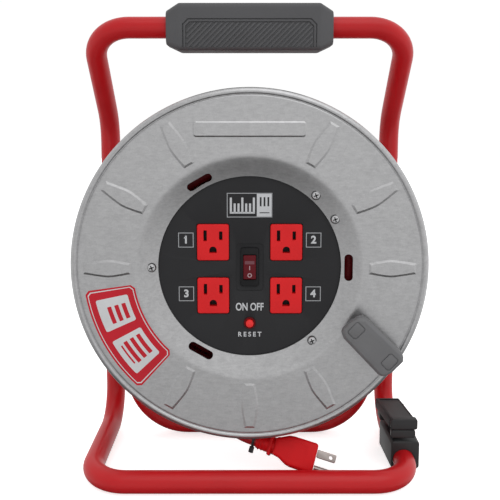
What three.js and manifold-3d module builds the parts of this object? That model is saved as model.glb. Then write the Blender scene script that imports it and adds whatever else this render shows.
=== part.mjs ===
// Extension cord reel: a steel drum of red mains cord turning in a bent tube stand.
// The drum carries four outlets, a power switch and an overload reset button.
// Millimetres. X runs to the right, Y away from the sockets and Z up from the floor.
// The origin is on the floor, under the middle of the object without its loose cord end.

import * as THREE from "three";
import { mergeVertices } from "three/addons/utils/BufferGeometryUtils.js";
import Module from "manifold-3d";

const wasm = await Module();
wasm.setup();

// ---- Driving dimensions ----
const GAP = 0.3; // clearance between pieces that touch

// Stand. Depths are measured from the middle plane of the front flange's rim.
const TUBE_R = 9;
const TUBE_WALL = 1.3;
const TUBE_SIDES = 12;
const BORE_SIDES = 8; // of the tube's hollow
const TUBE_BORE_R = (TUBE_R + GAP) / Math.cos(Math.PI / TUBE_SIDES); // round the tube
const FRAME_HALF_WIDTH = 133.25;
const FRONT_BAR_Y = -16;
const HANDLE_Y = 42;
const HANDLE_Z = 378.6;
const LEG_Y = 115;
const LEG_LEAN_Z = 298; // where the legs lean forward to the handle
const CORNER_R = 32;
const LEAN_R = 45;
const REAR_FOOT_Y = 92.4;
const REAR_FOOT_HALF_WIDTH = 109;
const REAR_FOOT_R = 50;
const REAR_FOOT_TOP_Z = 203;

// Drum
const AXLE_Z = 183;
const FLANGE_R = 145;
const REAR_FLANGE_R = 147;
const FLANGE_SEGMENTS = 40;
const SHEET = 1.2;
const FLAT_Y = -3; // front face of the front flange
const REAR_SHEET_Y = 76.6; // front face of the rear flange
const PANEL_HOLE_R = 74.4;
const WELL_R = 91.5;
const WELL_FLOOR_Y = 3;
const BARREL_R = 77.2;
const CORD_R = 5.1;
const TOP_TURN_R = 123.7; // middle of the last turn of cord, which lies on the outer layer
const LAYER_R = 112.8; // middle of the full outer layer
const LAYER_STEPS = 24; // per turn
const CORE_R = LAYER_R * Math.cos(Math.PI / LAYER_STEPS) - CORD_R - GAP;

// Socket panel, measured from the drum's axis
const PANEL_R = 75.6;
const PANEL_Y = 4.6;
const PANEL_T = 2.6;
const SOCKET_X = 29.8;
const SOCKET_ROWS_Z = [20.2, -24.1];
const SOCKET_W = 25.9;
const SOCKET_H = 29.8;
const SOCKET_PROUD = 1;
const SLOT_PITCH = 12.7;
const SWITCH_Z = -0.4;
const RESET_Z = -47.2;

// Whole object
const BOLT_HEAD_T = 4;
const FRONT_Y = FRONT_BAR_Y - TUBE_R;
const BACK_Y = LEG_Y + TUBE_R + GAP + BOLT_HEAD_T;
const MIDDLE_Y = (FRONT_Y + BACK_Y) / 2;

const rad = THREE.MathUtils.degToRad;
const v2 = (x, y) => new THREE.Vector2(x, y);
const v3 = (x, y, z) => new THREE.Vector3(x, y, z);

// ---- Finishes ----
const finish = (color, roughness, metalness) => () =>
  new THREE.MeshStandardMaterial({ color, roughness, metalness });
const redPaint = finish(0xc4202a, 0.3, 0.1);
const galvanised = finish(0xa5a5a7, 0.45, 0.8);
const zincPlate = finish(0xb9bbbf, 0.35, 0.9);
const blackPlastic = finish(0x2b2c2e, 0.55, 0);
const redPlastic = finish(0xcf2126, 0.4, 0);
const greyPlastic = finish(0x5f6063, 0.55, 0);
const greyRubber = finish(0x57595c, 0.8, 0);
const cordJacket = finish(0xb51d22, 0.5, 0);
const brass = finish(0xb99a4b, 0.35, 0.9);
const nylon = finish(0xd8d4c6, 0.5, 0);

// ---- Solids ----
/** A closed geometry as a solid that can be joined and cut. */
function solid(geometry) {
  const loose = geometry.index ? geometry.toNonIndexed() : geometry;
  const bare = new THREE.BufferGeometry();
  bare.setAttribute("position", loose.getAttribute("position"));
  const merged = mergeVertices(bare, 1e-3);
  return new wasm.Manifold(
    new wasm.Mesh({
      numProp: 3,
      vertProperties: merged.attributes.position.array,
      triVerts: new Uint32Array(merged.index.array),
    }),
  );
}

/** A solid as a geometry for a mesh. */
function geometryOf(body) {
  const mesh = body.getMesh();
  const geometry = new THREE.BufferGeometry();
  const positions = new THREE.BufferAttribute(mesh.vertProperties, 3);
  geometry.setAttribute("position", positions);
  geometry.setIndex(new THREE.BufferAttribute(mesh.triVerts, 1));
  geometry.computeVertexNormals();
  return geometry;
}

/** Joins geometries into one. */
function joined(first, ...others) {
  return geometryOf(others.reduce((all, one) => all.add(solid(one)), solid(first)));
}

/** Cuts geometries out of the first one. */
function cut(first, ...holes) {
  return geometryOf(
    holes.reduce((all, one) => all.subtract(solid(one)), solid(first)),
  );
}

/** A box with its middle at a point. */
function box(width, depth, height, x = 0, y = 0, z = 0) {
  return new THREE.BoxGeometry(width, depth, height).translate(x, y, z);
}

/** A round bar along Y from y0 to y1, round the point (x, z). */
function barY(r, y0, y1, x = 0, z = 0, sides = 24) {
  return new THREE.CylinderGeometry(r, r, y1 - y0, sides).translate(
    x,
    (y0 + y1) / 2,
    z,
  );
}

/** A round bar along X, with its middle at a point. */
function barX(r, length, x, y, z, sides = 16) {
  return new THREE.CylinderGeometry(r, r, length, sides)
    .rotateZ(Math.PI / 2)
    .translate(x, y, z);
}

/** A profile of (radius, y) pairs turned about the Y axis. */
function turned(profile, segments) {
  const points = profile.map(([r, y]) => v2(r, y));
  if (THREE.ShapeUtils.area(points) < 0) points.reverse();
  return new THREE.LatheGeometry([...points, points[0].clone()], segments);
}

/** A ring along Y between two radii. */
function ring(inner, outer, y0, y1, segments = 18) {
  const profile = [
    [inner, y0],
    [outer, y0],
    [outer, y1],
    [inner, y1],
  ];
  return turned(profile, segments);
}

/** A shape drawn in X and Z, with its front at y0 and its back at y1. */
function slab(shape, y0, y1, bevel = 0) {
  return new THREE.ExtrudeGeometry(shape, {
    depth: y1 - y0 - 2 * bevel,
    bevelEnabled: bevel > 0,
    bevelThickness: bevel,
    bevelSize: bevel,
    bevelOffset: -bevel,
    bevelSegments: 1,
    curveSegments: 3,
  })
    .rotateX(Math.PI / 2)
    .translate(0, y1 - bevel, 0);
}

/** A rectangle with round corners about (x, y). */
function roundedRect(width, height, r, x = 0, y = 0) {
  const w = width / 2;
  const h = height / 2;
  const shape = new THREE.Shape();
  shape.moveTo(x - w + r, y - h);
  shape.lineTo(x + w - r, y - h);
  shape.absarc(x + w - r, y - h + r, r, -Math.PI / 2, 0);
  shape.lineTo(x + w, y + h - r);
  shape.absarc(x + w - r, y + h - r, r, 0, Math.PI / 2);
  shape.lineTo(x - w + r, y + h);
  shape.absarc(x - w + r, y + h - r, r, Math.PI / 2, Math.PI);
  shape.lineTo(x - w, y - h + r);
  shape.absarc(x - w + r, y - h + r, r, Math.PI, 1.5 * Math.PI);
  return shape;
}

/** A regular polygon of a number of sides. */
function polygon(r, sides, kind = THREE.Shape) {
  const points = [];
  for (let i = 0; i < sides; i++) {
    const a = (2 * Math.PI * i) / sides;
    points.push(v2(r * Math.cos(a), r * Math.sin(a)));
  }
  return new kind(points);
}

// ---- Tubes ----
/** A path whose sections stand at its own points. */
class PointPath extends THREE.Curve {
  constructor(points) {
    super();
    this.points = points;
  }

  getPoint(t, target = new THREE.Vector3()) {
    const last = this.points.length - 1;
    const i = Math.min(Math.floor(t * last + 1e-9), last - 1);
    return target.lerpVectors(this.points[i], this.points[i + 1], t * last - i);
  }

  getPointAt(u, target) {
    return this.getPoint(u, target);
  }

  getTangent(t, target = new THREE.Vector3()) {
    const last = this.points.length - 1;
    const i = Math.round(t * last);
    const before = this.points[Math.max(i - 1, 0)];
    const here = this.points[i];
    const after = this.points[Math.min(i + 1, last)];
    const into = here.clone().sub(before).normalize();
    const out = after.clone().sub(here).normalize();
    return target.copy(into.add(out)).normalize();
  }

  getTangentAt(u, target) {
    return this.getTangent(u, target);
  }
}

/** The points of a line through corners, each rounded to its own radius. */
function bentLine(corners, radii, stepsPerBend = 4) {
  const points = [corners[0]];
  radii.forEach((r, k) => {
    const corner = corners[k + 1];
    const toBefore = corners[k].clone().sub(corner).normalize();
    const toAfter = corners[k + 2].clone().sub(corner).normalize();
    const opening = toBefore.angleTo(toAfter);
    const reach = r / Math.tan(opening / 2);
    const start = corner.clone().addScaledVector(toBefore, reach);
    const bisector = toBefore.clone().add(toAfter).normalize();
    const centre = corner.clone().addScaledVector(bisector, r / Math.sin(opening / 2));
    const axis = toAfter.clone().cross(toBefore).normalize();
    const arm = start.sub(centre);
    const sweep = Math.PI - opening;
    for (let i = 0; i <= stepsPerBend; i++) {
      const turn = (sweep * i) / stepsPerBend;
      points.push(arm.clone().applyAxisAngle(axis, turn).add(centre));
    }
  });
  points.push(corners[corners.length - 1]);
  return points;
}

/** A bar swept along points. */
function swept(shape, points) {
  return new THREE.ExtrudeGeometry(shape, {
    steps: points.length - 1,
    extrudePath: new PointPath(points),
  });
}

/** A hollow steel tube along points. */
function tube(points) {
  const shape = polygon(TUBE_R, TUBE_SIDES);
  shape.holes.push(polygon(TUBE_R - TUBE_WALL, BORE_SIDES, THREE.Path));
  return swept(shape, points);
}

// ---- Scene graph ----
const reel = new THREE.Group();
reel.position.y = -MIDDLE_Y;
const drum = new THREE.Group();
drum.position.z = AXLE_Z;
reel.add(drum);

/** Adds a named mesh to a group. */
function add(name, geometry, material, parent = reel) {
  const mesh = new THREE.Mesh(geometry, material());
  mesh.name = name;
  parent.add(mesh);
  return mesh;
}

// ---- Stand ----
const PLATE_Y = REAR_FOOT_Y + TUBE_R + GAP;
const PLATE_T = LEG_Y - TUBE_R - GAP - PLATE_Y;
const PLATE_H = 46;
const BOLT_R = 3;
const BOLT_ROWS = [-13, 13];
const AXLE_R = 8;
const AXLE_SIDES = 16;
const AXLE_STUD_R = 6;
const AXLE_BORE_R = (AXLE_STUD_R + GAP) / Math.cos(Math.PI / AXLE_SIDES); // round the stud
const AXLE_FRONT_Y = 43;

/** Half of the main frame, from the middle of the foot bar to the handle. */
function frameHalf(side) {
  const x = side * FRAME_HALF_WIDTH;
  const inner = (side * GAP) / 2;
  const corners = [
    v3(inner, FRONT_BAR_Y, TUBE_R),
    v3(x, FRONT_BAR_Y, TUBE_R),
    v3(x, LEG_Y, TUBE_R),
    v3(x, LEG_Y, LEG_LEAN_Z),
    v3(x, HANDLE_Y, HANDLE_Z),
    v3(inner, HANDLE_Y, HANDLE_Z),
  ];
  const radii = [CORNER_R, CORNER_R, LEAN_R, CORNER_R];
  const holes = BOLT_ROWS.map((dz) => boltHole(x, AXLE_Z + dz));
  return cut(tube(bentLine(corners, radii)), ...holes);
}

/** A hole along Y for a bolt through the plate at height z. */
function boltHole(x, z) {
  return barY(BOLT_R + GAP, REAR_FOOT_Y - 12, LEG_Y + 12, x, z, 8);
}

/** The U of tube behind the drum, standing on the floor. */
function rearFoot() {
  const w = REAR_FOOT_HALF_WIDTH;
  const corners = [
    v3(-w, REAR_FOOT_Y, REAR_FOOT_TOP_Z),
    v3(-w, REAR_FOOT_Y, TUBE_R),
    v3(w, REAR_FOOT_Y, TUBE_R),
    v3(w, REAR_FOOT_Y, REAR_FOOT_TOP_Z),
  ];
  const foot = tube(bentLine(corners, [REAR_FOOT_R, REAR_FOOT_R]));
  return cut(foot, boltHole(-w, AXLE_Z), boltHole(w, AXLE_Z));
}

/** The flat steel bar that ties the legs together and holds the axle. */
function crossPlate() {
  const width = 2 * (FRAME_HALF_WIDTH + TUBE_R - 1);
  const bar = slab(roundedRect(width, PLATE_H, 8), PLATE_Y, PLATE_Y + PLATE_T);
  const holes = [barY(AXLE_BORE_R, PLATE_Y - 1, PLATE_Y + PLATE_T + 1, 0, 0, AXLE_SIDES)];
  for (const side of [-1, 1]) {
    for (const dz of BOLT_ROWS) holes.push(boltHole(side * FRAME_HALF_WIDTH, dz));
    holes.push(boltHole(side * REAR_FOOT_HALF_WIDTH, 0));
  }
  return cut(bar, ...holes).translate(0, 0, AXLE_Z);
}

/** A bolt with its hexagonal head behind the leg. */
function plateBolt(x, z) {
  const headY = LEG_Y + TUBE_R + GAP;
  return joined(
    barY(BOLT_R, PLATE_Y - 5, headY + 0.5, x, z, 8),
    barY(5.5, headY, headY + BOLT_HEAD_T, x, z, 6),
  );
}

/** A bolt through the plate and the rear foot's top, with its head behind the plate. */
function footBolt(x) {
  const headY = PLATE_Y + PLATE_T + GAP;
  return joined(
    barY(BOLT_R, REAR_FOOT_Y - TUBE_R - 2, headY + 0.5, x, AXLE_Z, 8),
    barY(5.5, headY, headY + BOLT_HEAD_T, x, AXLE_Z, 6),
  );
}

/** The fixed axle, with a groove for its retaining ring and a stud through the plate. */
function axle() {
  const stud = PLATE_Y - GAP;
  const profile = [
    [0, AXLE_FRONT_Y],
    [AXLE_R - 1, AXLE_FRONT_Y],
    [AXLE_R, AXLE_FRONT_Y + 1],
    [AXLE_R, AXLE_FRONT_Y + 1.6],
    [AXLE_R - 1, AXLE_FRONT_Y + 1.6],
    [AXLE_R - 1, AXLE_FRONT_Y + 3.4],
    [AXLE_R, AXLE_FRONT_Y + 3.4],
    [AXLE_R, 84],
    [13, 84],
    [13, stud],
    [AXLE_STUD_R, stud],
    [AXLE_STUD_R, 117],
    [0, 117],
  ];
  const points = profile.map(([r, y]) => v2(r, y));
  return new THREE.LatheGeometry(points, AXLE_SIDES).translate(0, 0, AXLE_Z);
}

/** A hexagonal nut round a point, with a clear bore. */
function nut(boreR, outerR, y0, y1, x, z) {
  const blank = barY(outerR, y0, y1, x, z, 6);
  return cut(blank, barY(boreR + GAP, y0 - 1, y1 + 1, x, z, 8));
}

function addStand() {
  add("frame_left", frameHalf(-1), redPaint);
  add("frame_right", frameHalf(1), redPaint);
  const spigotR = (TUBE_R - TUBE_WALL) * Math.cos(Math.PI / BORE_SIDES) - GAP;
  const spigot = (y, z) => barX(spigotR, 60, 0, y, z, 10);
  add("handle_joint_spigot", spigot(HANDLE_Y, HANDLE_Z), zincPlate);
  add("foot_joint_spigot", spigot(FRONT_BAR_Y, TUBE_R), zincPlate);
  add("rear_foot", rearFoot(), redPaint);
  add("axle_cross_plate", crossPlate(), redPaint);
  let count = 0;
  for (const side of [-1, 1])
    for (const dz of BOLT_ROWS) {
      count += 1;
      const x = side * FRAME_HALF_WIDTH;
      const z = AXLE_Z + dz;
      add(`plate_bolt_${count}`, plateBolt(x, z), zincPlate);
      const plateNut = nut(BOLT_R, 5.5, PLATE_Y - GAP - 4, PLATE_Y - GAP, x, z);
      add(`plate_nut_${count}`, plateNut, zincPlate);
    }
  add("foot_bolt_left", footBolt(-REAR_FOOT_HALF_WIDTH), zincPlate);
  add("foot_bolt_right", footBolt(REAR_FOOT_HALF_WIDTH), zincPlate);
  add("axle", axle(), zincPlate);
  const backY = PLATE_Y + PLATE_T + GAP;
  const axleNut = nut(AXLE_STUD_R + 0.4, 10.5, backY + 1.8, backY + 8.8, 0, AXLE_Z);
  const washer = ring(AXLE_BORE_R, 12, backY, backY + 1.5, 20);
  const circlip = ring(AXLE_R - 0.7, AXLE_R + 3, AXLE_FRONT_Y + 1.9, AXLE_FRONT_Y + 3.1);
  add("axle_nut", axleNut, zincPlate);
  add("axle_washer", washer.translate(0, 0, AXLE_Z), zincPlate);
  add("axle_circlip", circlip.translate(0, 0, AXLE_Z), zincPlate);
}

// ---- Handle grip ----
const GRIP_LENGTH = 138;
const GRIP_TOP = 18.3; // above the tube's middle
const GRIP_BOTTOM = -20;
const GRIP_DEPTH = 35;
const GRIP_CHAMFER = 11;
const GRIP_END_SLANT = Math.atan(5 / GRIP_CHAMFER);

/** The wedge that slants the grip's front or back towards one end. */
function gripWedge(side, face) {
  const wedge = box(40, 10, 60, 0, 5 * face, 0);
  wedge.rotateZ(-side * face * GRIP_END_SLANT);
  const x = side * (GRIP_LENGTH - GRIP_CHAMFER) / 2;
  return wedge.translate(x, face * (GRIP_DEPTH / 2 - 2.5), 0);
}

/** The rubber grip: a block with slanted ends and a bore, and a shallow panel in front. */
function handleGrip() {
  const half = GRIP_LENGTH / 2;
  const outline = new THREE.Shape([
    v2(-half, GRIP_BOTTOM + 5),
    v2(-half + GRIP_CHAMFER, GRIP_BOTTOM),
    v2(half - GRIP_CHAMFER, GRIP_BOTTOM),
    v2(half, GRIP_BOTTOM + 5),
    v2(half, GRIP_TOP - 6),
    v2(half - GRIP_CHAMFER, GRIP_TOP),
    v2(-half + GRIP_CHAMFER, GRIP_TOP),
    v2(-half, GRIP_TOP - 6),
  ]);
  const block = slab(outline, -GRIP_DEPTH / 2, GRIP_DEPTH / 2, 4);
  const bore = barX(TUBE_BORE_R, GRIP_LENGTH + 4, 0, 0, 0, TUBE_SIDES);
  const panelShape = roundedRect(GRIP_LENGTH - 28, 23, 4, 0, -6);
  const panel = slab(panelShape, -GRIP_DEPTH / 2 - 1, -GRIP_DEPTH / 2 + 1.5);
  const wedges = [gripWedge(-1, -1), gripWedge(-1, 1), gripWedge(1, -1), gripWedge(1, 1)];
  return cut(block, bore, panel, ...wedges).translate(0, HANDLE_Y, HANDLE_Z);
}

// ---- Cord guide on the right rail ----
const GUIDE_FRONT_Y = 20;
const GUIDE_BACK_Y = 64;
const GUIDE_BASE_TOP = 26;
const GUIDE_JAW_TOP = 45.5;
const GUIDE_PIN_Y = 59;
const GUIDE_PIN_Z = 37;
const GUIDE_SKEW = -0.11; // how far the guide's left side leans out along the rail

/** Leans a piece of the guide sideways towards its back. */
function skewed(geometry) {
  const shear = new THREE.Matrix4().makeShear(0, 0, GUIDE_SKEW, 0, 0, 0);
  return geometry
    .translate(0, -GUIDE_FRONT_Y, 0)
    .applyMatrix4(shear)
    .translate(0, GUIDE_FRONT_Y, 0);
}

/** The block that wraps the rail, with a post at the back for the jaw's pin. */
function guideBase() {
  const length = GUIDE_BACK_Y - GUIDE_FRONT_Y;
  const x = FRAME_HALF_WIDTH;
  const middleY = (GUIDE_FRONT_Y + GUIDE_BACK_Y) / 2;
  const outline = roundedRect(25, GUIDE_BASE_TOP - 1, 3, x + 1.25, GUIDE_BASE_TOP / 2);
  const block = slab(outline, GUIDE_FRONT_Y, GUIDE_BACK_Y, 1);
  const post = box(10, 7, 19.5, x, GUIDE_PIN_Y, GUIDE_PIN_Z - 5.2);
  const bore = barY(TUBE_BORE_R, GUIDE_FRONT_Y - 1, GUIDE_BACK_Y + 1, x, TUBE_R, 12);
  const mouth = box(2 * TUBE_R - 3, length + 2, 6, x, middleY, 1);
  const pinHole = barX(2 + GAP, 20, x, GUIDE_PIN_Y, GUIDE_PIN_Z, 8);
  return cut(joined(block, skewed(block.clone()), post), bore, mouth, pinHole);
}

/** The jaw above the rail block: a lid with a front lip and two rear cheeks. */
function guideJaw() {
  const x = FRAME_HALF_WIDTH;
  const back = GUIDE_BACK_Y + 1;
  const front = GUIDE_FRONT_Y - 0.5;
  const lidH = GUIDE_JAW_TOP - 36.5;
  const lidShape = roundedRect(22, lidH, 2, x - 1, GUIDE_JAW_TOP - lidH / 2);
  const lid = skewed(slab(lidShape, front + 4, back));
  const lipH = GUIDE_JAW_TOP - 28.6;
  const lipShape = roundedRect(23, lipH, 2.5, x, GUIDE_JAW_TOP - lipH / 2);
  const lip = slab(lipShape, front, front + 6, 1);
  const cheeks = box(24, 13, 10, x - 3, back - 7.5, 36);
  const postGap = box(10.6, 15, 23, x, GUIDE_PIN_Y + 1.2, GUIDE_PIN_Z - 5);
  const pinHole = barX(2 + GAP, 40, x, GUIDE_PIN_Y, GUIDE_PIN_Z, 8);
  return cut(joined(lid, lip, cheeks), postGap, pinHole);
}

function addGuide() {
  add("cord_guide_base", guideBase(), blackPlastic);
  add("cord_guide_jaw", guideJaw(), blackPlastic);
  const pin = barX(2, 23, FRAME_HALF_WIDTH - 3, GUIDE_PIN_Y, GUIDE_PIN_Z, 8);
  add("cord_guide_pin", pin, zincPlate);
}

// ---- Drum: sheet metal ----
const RIB_ANGLES = [0, 30, 60, 120, 150, 180, 240, 270, 300];
const REAR_RIB_ANGLES = [0, 60, 120, 180, 240, 300];
const SLOT_ANGLES = [0, 120, 240];
const SLOT_R = 80;
const SCREW_ANGLES = [180, 48, 30, -50];
const SCREW_R = 80.5;
const RIM_R = FLANGE_R - 4.5;

/** A pressed rib: a long hexagon with sloping sides, at an angle round the axis. */
function rib(angle, y0, y1) {
  const outline = new THREE.Shape([
    v2(97, -4.5),
    v2(114, -8),
    v2(133.5, -5.5),
    v2(135, 0),
    v2(133.5, 5.5),
    v2(114, 8),
    v2(97, 4.5),
  ]);
  return slab(outline, y0, y1, 1.4).rotateY(-rad(angle));
}

/** A slot along the rim's direction, cut right through the well. */
function lacingSlot(angle) {
  return slab(roundedRect(5.7, 21, 2.8, SLOT_R, 0), -8, 12).rotateY(-rad(angle));
}

/** A round hole through the well for a screw. */
function screwHole(angle) {
  return barY(2.2 + GAP, -8, 12, SCREW_R, 0, 10).rotateY(-rad(angle));
}

/** The front flange: rolled rim, flat ring with ribs, and a dished well. */
function frontFlange() {
  const back = FLAT_Y + SHEET;
  const profile = [
    [PANEL_HOLE_R, WELL_FLOOR_Y],
    [WELL_R - 2.5, FLAT_Y + 0.7],
    [WELL_R, FLAT_Y],
    [RIM_R - 4.5, FLAT_Y],
    [RIM_R - 2, FLAT_Y + 1.8],
    [RIM_R, FLAT_Y - 0.5],
    [RIM_R + 2.4, FLAT_Y - 0.5],
    [FLANGE_R, -1.4],
    [FLANGE_R, 1.8],
    [RIM_R + 1.4, 4.2],
    [RIM_R - 1.5, 3],
    [RIM_R - 2, 0.4],
    [RIM_R - 5.6, back],
    [WELL_R + 0.4, back],
    [PANEL_HOLE_R, WELL_FLOOR_Y + SHEET],
  ];
  const ribs = RIB_ANGLES.map((a) => rib(a, FLAT_Y - 2, back));
  const plainField = slab(roundedRect(90, 12.5, 3, 0, 112), FLAT_Y - 1.2, back, 0.8);
  const pressed = joined(turned(profile, FLANGE_SEGMENTS), ...ribs, plainField);
  const holes = [...SLOT_ANGLES.map(lacingSlot), ...SCREW_ANGLES.map(screwHole)];
  return cut(pressed, ...holes);
}

/** The rear flange: a flat ribbed disc with a rolled rim and a hole for its bush. */
function rearFlange() {
  const rim = REAR_FLANGE_R - 4;
  const back = REAR_SHEET_Y + SHEET;
  const profile = [
    [14.5, REAR_SHEET_Y],
    [rim - 1.5, REAR_SHEET_Y],
    [rim - 0.5, 73.4],
    [rim + 2, 72.6],
    [REAR_FLANGE_R, 74.6],
    [REAR_FLANGE_R, 77.8],
    [rim + 1, 79.8],
    [rim - 2, back],
    [14.5, back],
  ];
  const ribs = REAR_RIB_ANGLES.map((a) => rib(a, REAR_SHEET_Y, back + 1.8));
  return joined(turned(profile, FLANGE_SEGMENTS), ...ribs);
}

/** A stepped nylon bush on the axle, with its flange towards the front. */
function bush(y0, y1, bodyR, flangeR) {
  const bore = (AXLE_R + GAP) / Math.cos(Math.PI / AXLE_SIDES);
  const profile = [
    [bore, y0],
    [flangeR, y0],
    [flangeR, y0 + 2],
    [bodyR, y0 + 2],
    [bodyR, y1],
    [bore, y1],
  ];
  return turned(profile, AXLE_SIDES);
}

const HUB_PLATE_Y = 50;
const CORE_FRONT_Y = 5;
const CORE_BACK_Y = REAR_SHEET_Y - GAP;
const GLAND_ANGLE = 200;

function addDrumMetal() {
  add("front_flange", frontFlange(), galvanised, drum);
  add("rear_flange", rearFlange(), galvanised, drum);
  const barrelFront = WELL_FLOOR_Y + SHEET + GAP;
  const barrel = ring(BARREL_R - SHEET, BARREL_R, barrelFront, CORE_BACK_Y, FLANGE_SEGMENTS);
  const glandHole = barX(7 + GAP, 8, BARREL_R, 0, 0, 12)
    .translate(0, 26, 0)
    .rotateY(-rad(GLAND_ANGLE));
  add("barrel", cut(barrel, glandHole), galvanised, drum);
  const plate = ring(14.5, BARREL_R - SHEET - 2 * GAP, HUB_PLATE_Y, HUB_PLATE_Y + 2, 36);
  add("hub_plate", plate, galvanised, drum);
  const frontBush = bush(HUB_PLATE_Y - 2 - GAP, HUB_PLATE_Y + 8, 14, 19);
  add("front_bush", frontBush, nylon, drum);
  const rearBush = bush(REAR_SHEET_Y - 2 - GAP, REAR_SHEET_Y + 6, 14, 19);
  add("rear_bush", rearBush, nylon, drum);
  SCREW_ANGLES.forEach((angle, i) => {
    const shank = barY(2.2, -1.5, CORE_FRONT_Y - GAP, SCREW_R, 0, 10);
    const head = new THREE.CylinderGeometry(2.6, 3.8, 2.2, 14);
    head.translate(SCREW_R, wellFaceY(SCREW_R) - 2.8, 0);
    const screw = joined(shank, head);
    add(`flange_screw_${i + 1}`, screw.rotateY(-rad(angle)), zincPlate, drum);
  });
}

/** The well's front face at a radius. */
function wellFaceY(r) {
  const slope = (FLAT_Y + 0.7 - WELL_FLOOR_Y) / (WELL_R - 2.5 - PANEL_HOLE_R);
  return WELL_FLOOR_Y + slope * (r - PANEL_HOLE_R);
}

// ---- Drum: cord ----
const LAYER_PITCH = 10.8;
const LAYER_TURNS = 6; // of the full outer layer
const LAYER_FRONT_Y = 5; // middle of its front turn
const CLIMB_TURNS = 0.5; // the last of them, up onto the turn on top
const TOP_TURNS = 1;
const EXIT_Y = 22; // middle of the cord where it leaves the winding
const EXIT_ANGLE = 38.5; // from straight down, towards the left
const EXIT_STRAIGHT = 52.5; // the cord's last stretch on the drum

/** The direction of the cord where it leaves the winding. */
function exitDirection() {
  return v3(Math.cos(rad(EXIT_ANGLE)), 0, -Math.sin(rad(EXIT_ANGLE)));
}

/** The winding's radius and depth, a number of turns before its end. */
function windingAt(turns) {
  const drop = THREE.MathUtils.smoothstep(turns, TOP_TURNS, TOP_TURNS + CLIMB_TURNS);
  const r = THREE.MathUtils.lerp(TOP_TURN_R, LAYER_R, drop);
  if (turns < TOP_TURNS)
    return [r, THREE.MathUtils.lerp(EXIT_Y, LAYER_FRONT_Y, turns / TOP_TURNS)];
  return [r, LAYER_FRONT_Y + LAYER_PITCH * (turns - TOP_TURNS)];
}

/** A point of the winding, a number of turns before its end. */
function windingPoint(turns) {
  const a = rad(EXIT_ANGLE) + 2 * Math.PI * turns;
  const [r, y] = windingAt(turns);
  return v3(-r * Math.sin(a), y, -r * Math.cos(a));
}

/** The winding's route, from its rear end to the end of its straight run. */
function windingRoute() {
  const turns = TOP_TURNS + LAYER_TURNS;
  const points = [];
  for (let i = turns * LAYER_STEPS; i >= 0; i--)
    points.push(windingPoint(i / LAYER_STEPS));
  const first = points[0].clone().sub(points[1]).normalize();
  points.unshift(points[0].clone().addScaledVector(first, 2 * CORD_R));
  const end = points[points.length - 1];
  points.push(end.clone().addScaledVector(exitDirection(), EXIT_STRAIGHT));
  return points;
}

/** The least gap between two turns of the layer. */
function leastGap(points) {
  let least = Infinity;
  for (let i = 0; i < points.length; i++)
    for (let j = i + LAYER_STEPS / 2; j < points.length; j++)
      least = Math.min(least, points[i].distanceTo(points[j]));
  return least - 2 * CORD_R;
}

function addWinding() {
  const core = ring(BARREL_R + GAP, CORE_R, CORE_FRONT_Y, CORE_BACK_Y, FLANGE_SEGMENTS);
  add("cord_core", core, cordJacket, drum);
  const route = windingRoute();
  add("cord_outer_layer", swept(polygon(CORD_R, 6), route), cordJacket, drum);
  console.log(`least gap in the cord's layer: ${leastGap(route).toFixed(2)} mm`);
}

// ---- Drum: socket panel and what is behind it ----
const BOX_FRONT_Y = PANEL_Y + PANEL_T + GAP;
const BOX_BACK_Y = 38;
const BOX_R = 70;
const SOCKET_BACK_Y = 26;
const SWITCH_W = 14.2;
const SWITCH_H = 31.7;
const ROCKER_W = 10.2;
const ROCKER_H = 20.5;
const RESET_R = 3;
const COLLAR_R = 4.6;

/** The middles of the four outlets, in reading order. */
function socketPlaces() {
  return SOCKET_ROWS_Z.flatMap((z) => [
    [-SOCKET_X, z],
    [SOCKET_X, z],
  ]);
}

function socketPanel() {
  const disc = turned(
    [
      [0, PANEL_Y],
      [PANEL_R, PANEL_Y],
      [PANEL_R, PANEL_Y + PANEL_T],
      [0, PANEL_Y + PANEL_T],
    ],
    FLANGE_SEGMENTS,
  );
  const w = SOCKET_W + 2 * GAP;
  const h = SOCKET_H + 2 * GAP;
  const holes = socketPlaces().map(([x, z]) =>
    slab(roundedRect(w, h, 2, x, z), PANEL_Y - 1, PANEL_Y + PANEL_T + 1),
  );
  const pocket = slab(roundedRect(22.7, 39.5, 3, 0, SWITCH_Z), PANEL_Y - 1, PANEL_Y + 1);
  const opening = slab(
    roundedRect(SWITCH_W + 2 * GAP - 3, SWITCH_H + 2 * GAP - 3, 1, 0, SWITCH_Z),
    PANEL_Y - 1,
    PANEL_Y + PANEL_T + 1,
  );
  const collarHole = barY(COLLAR_R - 1 + GAP, PANEL_Y - 1, 10, 0, RESET_Z, 16);
  return cut(disc, ...holes, pocket, opening, collarHole);
}

/** One outlet: a face with two slots and an earth hole, and its body behind. */
function socket(x, z) {
  const front = PANEL_Y - SOCKET_PROUD;
  const body = slab(roundedRect(SOCKET_W, SOCKET_H, 1.8, 0, 0), front, SOCKET_BACK_Y, 0.6);
  const neutral = box(2.2, 16, 8.4, -SLOT_PITCH / 2, front + 7, 4.5);
  const line = box(2.2, 16, 7, SLOT_PITCH / 2, front + 7, 4.5);
  const earth = joined(
    barY(2.6, front - 1, front + 15, 0, -6.6, 12),
    box(5.2, 16, 3, 0, front + 7, -8.1),
  );
  return cut(body, neutral, line, earth).translate(x, 0, z);
}

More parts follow.
